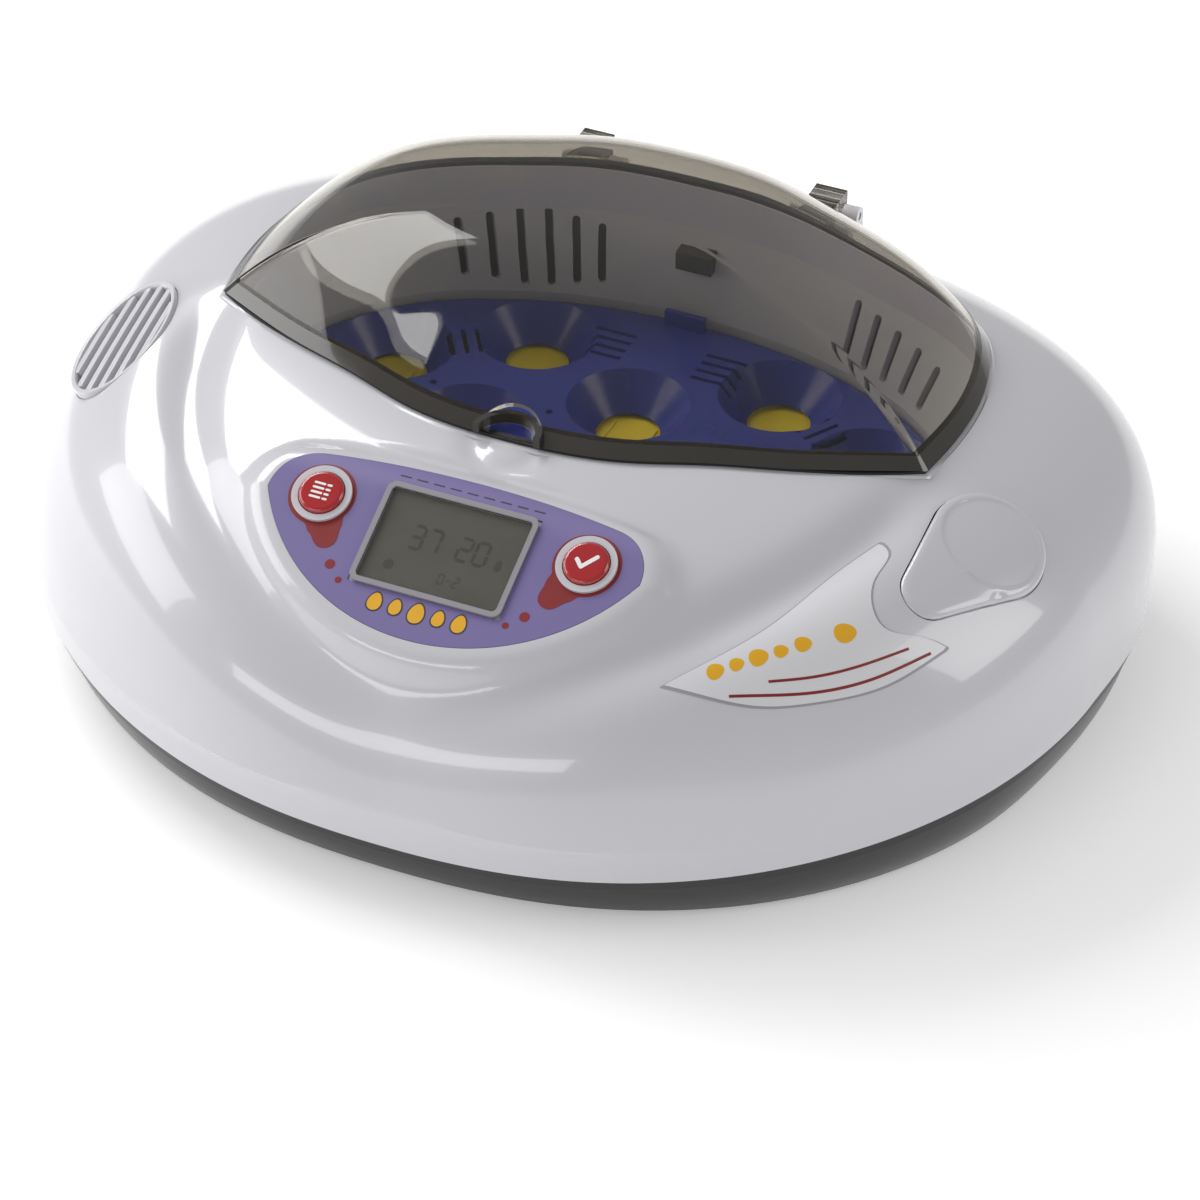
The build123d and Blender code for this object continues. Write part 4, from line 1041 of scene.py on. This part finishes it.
class INCUBATOR_OT_filler(bpy.types.Operator):
    """Filler cover: rounded drop with a shallow round dish and a fingernail notch"""

    bl_idname = "incubator.filler"
    bl_label = "Filler cover"

    def execute(self, context):
        spot = filler_spot()
        line = resample_closed(drop_outline(-0.05 * MM), 140)
        levels = [(0.0, -0.9), (0.5, -0.9), (0.97, -0.9), (0.985, 0.2), (1.0, 1.0), (0.995, 1.7),
                  (0.975, 2.2), (0.945, 2.45), (0.915, 2.5)]
        rows = []
        for share, height in levels:
            rows.append((line * share, height + 0 * line[:, 0]))
        for share in np.linspace(0.90, 0.0, 34):
            uv = line * share
            radius = np.hypot(uv[:, 0] + 0.2 * MM, uv[:, 1])
            dish = 0.45 * smoothstep((18.3 * MM - radius) / (0.9 * MM))
            rows.append((uv, 2.55 + 0.12 * (1 - share) - dish))
        grid = []
        for uv, height in rows:
            flat = spot.at(uv, 0.0)
            notch = np.hypot(uv[:, 0] - 14 * MM, uv[:, 1] - 17.2 * MM)
            height = height - 0.7 * smoothstep((4.2 * MM - notch) / (2.2 * MM)) * (height > 1)
            hull = hull_height(flat[:, 0], flat[:, 1])
            on_hull = np.stack([flat[:, 0], flat[:, 1], hull], 1)
            fall = (on_hull - spot.origin) @ spot.normal
            grid.append(spot.at(uv, height * MM + np.clip(fall, -4 * MM, 0)))
        mesh = clean(new_mesh("filler_lid", [np.stack(grid)]), sharp=math.radians(50))
        place("filler_lid", mesh, "filler", pearl(), ["filler_cover"])
        return {"FINISHED"}


class INCUBATOR_OT_label(bpy.types.Operator):
    """Leaf-shaped film on the right shoulder with generic egg marks and two thin lines"""

    bl_idname = "incubator.label"
    bl_label = "Side label"

    def execute(self, context):
        upper = smooth_line([(86.5, -114), (112.2, -80), (122.5, -52.5), (131.8, -29)], 60)
        bay = smooth_line(
            [(131.8, -29), (135.5, -32), (136.3, -49), (144.1, -61.4), (158, -55), (165.4, -52)], 50)
        lower = smooth_line([(165.4, -52), (152, -75.6), (134.5, -92.9), (116.9, -104.8), (86.5, -114)], 60)
        leaf = closed([upper[:-1], bay[:-1], lower[:-1]]) * MM
        self.film("label_leaf", leaf, (0.125, -0.078), 0.16, 0.1,
                  finish("label_rim", (0.34, 0.34, 0.37), tone=0.05, roughness=0.35), ["info_label"])
        inner = np.array([0.127, -0.076]) + (leaf - [0.127, -0.076]) * 0.972
        self.film("label_face", inner, (0.127, -0.076), 0.22, 0.1, slot_finishes()["label_film"])
        yellow = printed("print_yellow", bpy.context.scene.incubator_colours.yellow)
        red = printed("print_red", bpy.context.scene.incubator_colours.print_red)
        for k, (x, y, size) in enumerate(((101.5, -102.5, 2.6), (107.0, -97.6, 2.2), (112.6, -92.4, 2.9),
                                          (118.4, -87.2, 2.2), (123.9, -81.6, 2.6), (134.5, -71.0, 3.4))):
            outline = egg_line(size * MM * 1.15, size * MM * 0.85, 0.75, (x * MM, y * MM), 32)
            self.film(f"label_egg_{k + 1}", outline, (x * MM, y * MM), 0.27, 0.1, yellow)
        for name, points in (("label_line_low", [(108, -106.5), (130, -93), (148, -76), (160.5, -58)]),
                             ("label_line_high", [(118, -97), (128, -90), (145, -73.5), (154, -62)])):
            middle = smooth_line(points, 60) * MM
            side = np.gradient(middle, axis=0)
            side = np.stack([-side[:, 1], side[:, 0]], 1) / np.linalg.norm(side, axis=1, keepdims=True)
            self.strip(name, middle, side, 0.35 * MM, 0.27, red)
        return {"FINISHED"}

    def strip(self, name, middle, side, half, lift, material):
        """Thin raised strip along a line on the hull."""
        rows = []
        for share, height in ((-1, lift - 0.15), (-1, lift), (1, lift), (1, lift - 0.15)):
            line = middle + side * half * share
            rows.append(skin(line[:, 0], line[:, 1], height * MM))
        ring = np.stack(rows, 1)
        ring = np.concatenate([ring[:1].mean(1, keepdims=True).repeat(4, 1), ring,
                               ring[-1:].mean(1, keepdims=True).repeat(4, 1)])
        place(name, clean(new_mesh(name, [ring])), "housing", material)

    def film(self, name, outline, centre, lift, thick, material, replaced=()):
        """Thin film that follows the hull under an outline."""
        outline = resample_closed(outline, 120)
        centre = np.array(centre)
        rows = []
        for share, height in [(0, lift - thick), (0.5, lift - thick), (1, lift - thick)] + [
                (share, lift) for share in (1, 0.9, 0.8, 0.7, 0.6, 0.5, 0.4, 0.3, 0.2, 0.1, 0)]:
            uv = centre + (outline - centre) * share
            rows.append(skin(uv[:, 0], uv[:, 1], height * MM))
        mesh = clean(new_mesh(name, [np.stack(rows)]))
        place(name, mesh, "housing", material, replaced)


# ---------------------------------------------------------------- carried-over nodes and stage
class INCUBATOR_OT_finishes(bpy.types.Operator):
    """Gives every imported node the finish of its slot"""

    bl_idname = "incubator.finishes"
    bl_label = "Finishes"

    def execute(self, context):
        finishes = slot_finishes()
        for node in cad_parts.values():
            for held in node.material_slots:
                held.material = finishes[held.material.name.split(".")[0]]
        return {"FINISHED"}


class INCUBATOR_OT_stage(bpy.types.Operator):
    """Pale floor, soft studio lamps and the camera"""

    bl_idname = "incubator.stage"
    bl_label = "Stage"

    def lamp(self, name, place_at, aim, size, power):
        """Rectangular lamp at a place, turned towards its aim."""
        data = bpy.data.lights.new(name, "AREA")
        data.shape = "RECTANGLE"
        data.size, data.size_y = size
        data.energy = power
        obj = bpy.data.objects.new(name, data)
        bpy.context.scene.collection.objects.link(obj)
        obj.location = place_at
        direction = Vector(aim) - Vector(place_at)
        obj.rotation_euler = direction.to_track_quat("-Z", "Y").to_euler()
        return obj

    def execute(self, context):
        view = context.scene.incubator_stage
        q = np.linspace(0, 2 * np.pi, 64, endpoint=False)
        rows = [np.stack([r * np.cos(q), r * np.sin(q), -0.0002 + 0 * q], 1) for r in (9.0, 4.0, 1.5, 0.6, 0.0)]
        mesh = clean(new_mesh("floor", [np.stack(rows)]), outward=False)
        floor = bpy.data.objects.new("floor", mesh)
        context.scene.collection.objects.link(floor)
        paper = finish("floor_paper", (0.93, 0.93, 0.93), tone=0.01, tone_scale=3.0, roughness=0.7, grain=0.02,
                       emission_color=(1, 1, 1, 1), emission_strength=0.30)
        mesh.materials.append(paper)
        lamps = [self.lamp(*row) for row in (
            ("lamp_top", (-1.2, 0.55, 1.25), (0, 0, 0.08), (1.0, 0.8), 17),
            ("lamp_left", (-1.5, -0.35, 0.75), (0, 0, 0.08), (1.1, 0.9), 9),
            ("lamp_front", (-0.5, -1.7, 0.55), (0, 0, 0.06), (1.3, 0.28), 4),
            ("lamp_right", (1.5, 0.3, 0.9), (0, 0, 0.08), (0.8, 0.8), 6),
        )]
        world = bpy.data.worlds.new("room")
        world.use_nodes = True
        world.node_tree.nodes["Background"].inputs["Color"].default_value = (1, 1, 1, 1)
        world.node_tree.nodes["Background"].inputs["Strength"].default_value = 0.36
        context.scene.world = world
        back = Vector((math.sin(view.turn) * math.cos(view.height),
                       -math.cos(view.turn) * math.cos(view.height), math.sin(view.height)))
        data = bpy.data.cameras.new("camera")
        data.lens = view.lens
        data.sensor_width = 36
        data.clip_start = 0.05
        camera = bpy.data.objects.new("camera", data)
        context.scene.collection.objects.link(camera)
        camera.location = Vector((0.036, -0.048, 0.060)) + back * view.distance
        camera.rotation_euler = (-back).to_track_quat("-Z", "Y").to_euler()
        context.scene.camera = camera
        context.scene.view_settings.view_transform = "Standard"
        return {"FINISHED"}


class INCUBATOR_PT_panel(bpy.types.Panel):
    """Lists the steps and the sizes"""

    bl_idname = "INCUBATOR_PT_panel"
    bl_label = "Egg incubator"
    bl_space_type = "VIEW_3D"
    bl_region_type = "UI"
    bl_category = "Incubator"

    def draw(self, context):
        for step in STEPS:
            self.layout.operator(step.bl_idname)
        for name in SETTINGS:
            group = getattr(context.scene, name)
            box = self.layout.box()
            for key in group.__annotations__:
                box.prop(group, key)


STEPS = (
    INCUBATOR_OT_finishes,
    INCUBATOR_OT_housing,
    INCUBATOR_OT_window,
    INCUBATOR_OT_prints,
    INCUBATOR_OT_vent,
    INCUBATOR_OT_filler,
    INCUBATOR_OT_label,
    INCUBATOR_OT_stage,
)
SETTINGS = {
    "incubator_shell": IncubatorShell,
    "incubator_window": IncubatorWindow,
    "incubator_panel": IncubatorPanel,
    "incubator_colours": IncubatorColours,
    "incubator_stage": IncubatorStage,
}


def register():
    for name, group in SETTINGS.items():
        bpy.utils.register_class(group)
        setattr(bpy.types.Scene, name, PointerProperty(type=group))
    for kind in (*STEPS, INCUBATOR_PT_panel):
        bpy.utils.register_class(kind)


def unregister():
    for kind in (INCUBATOR_PT_panel, *reversed(STEPS)):
        bpy.utils.unregister_class(kind)
    for name, group in SETTINGS.items():
        delattr(bpy.types.Scene, name)
        bpy.utils.unregister_class(group)


def main():
    register()
    for step in STEPS:
        part, name = step.bl_idname.split(".")
        getattr(getattr(bpy.ops, part), name)()


if __name__ == "__main__":
    main()
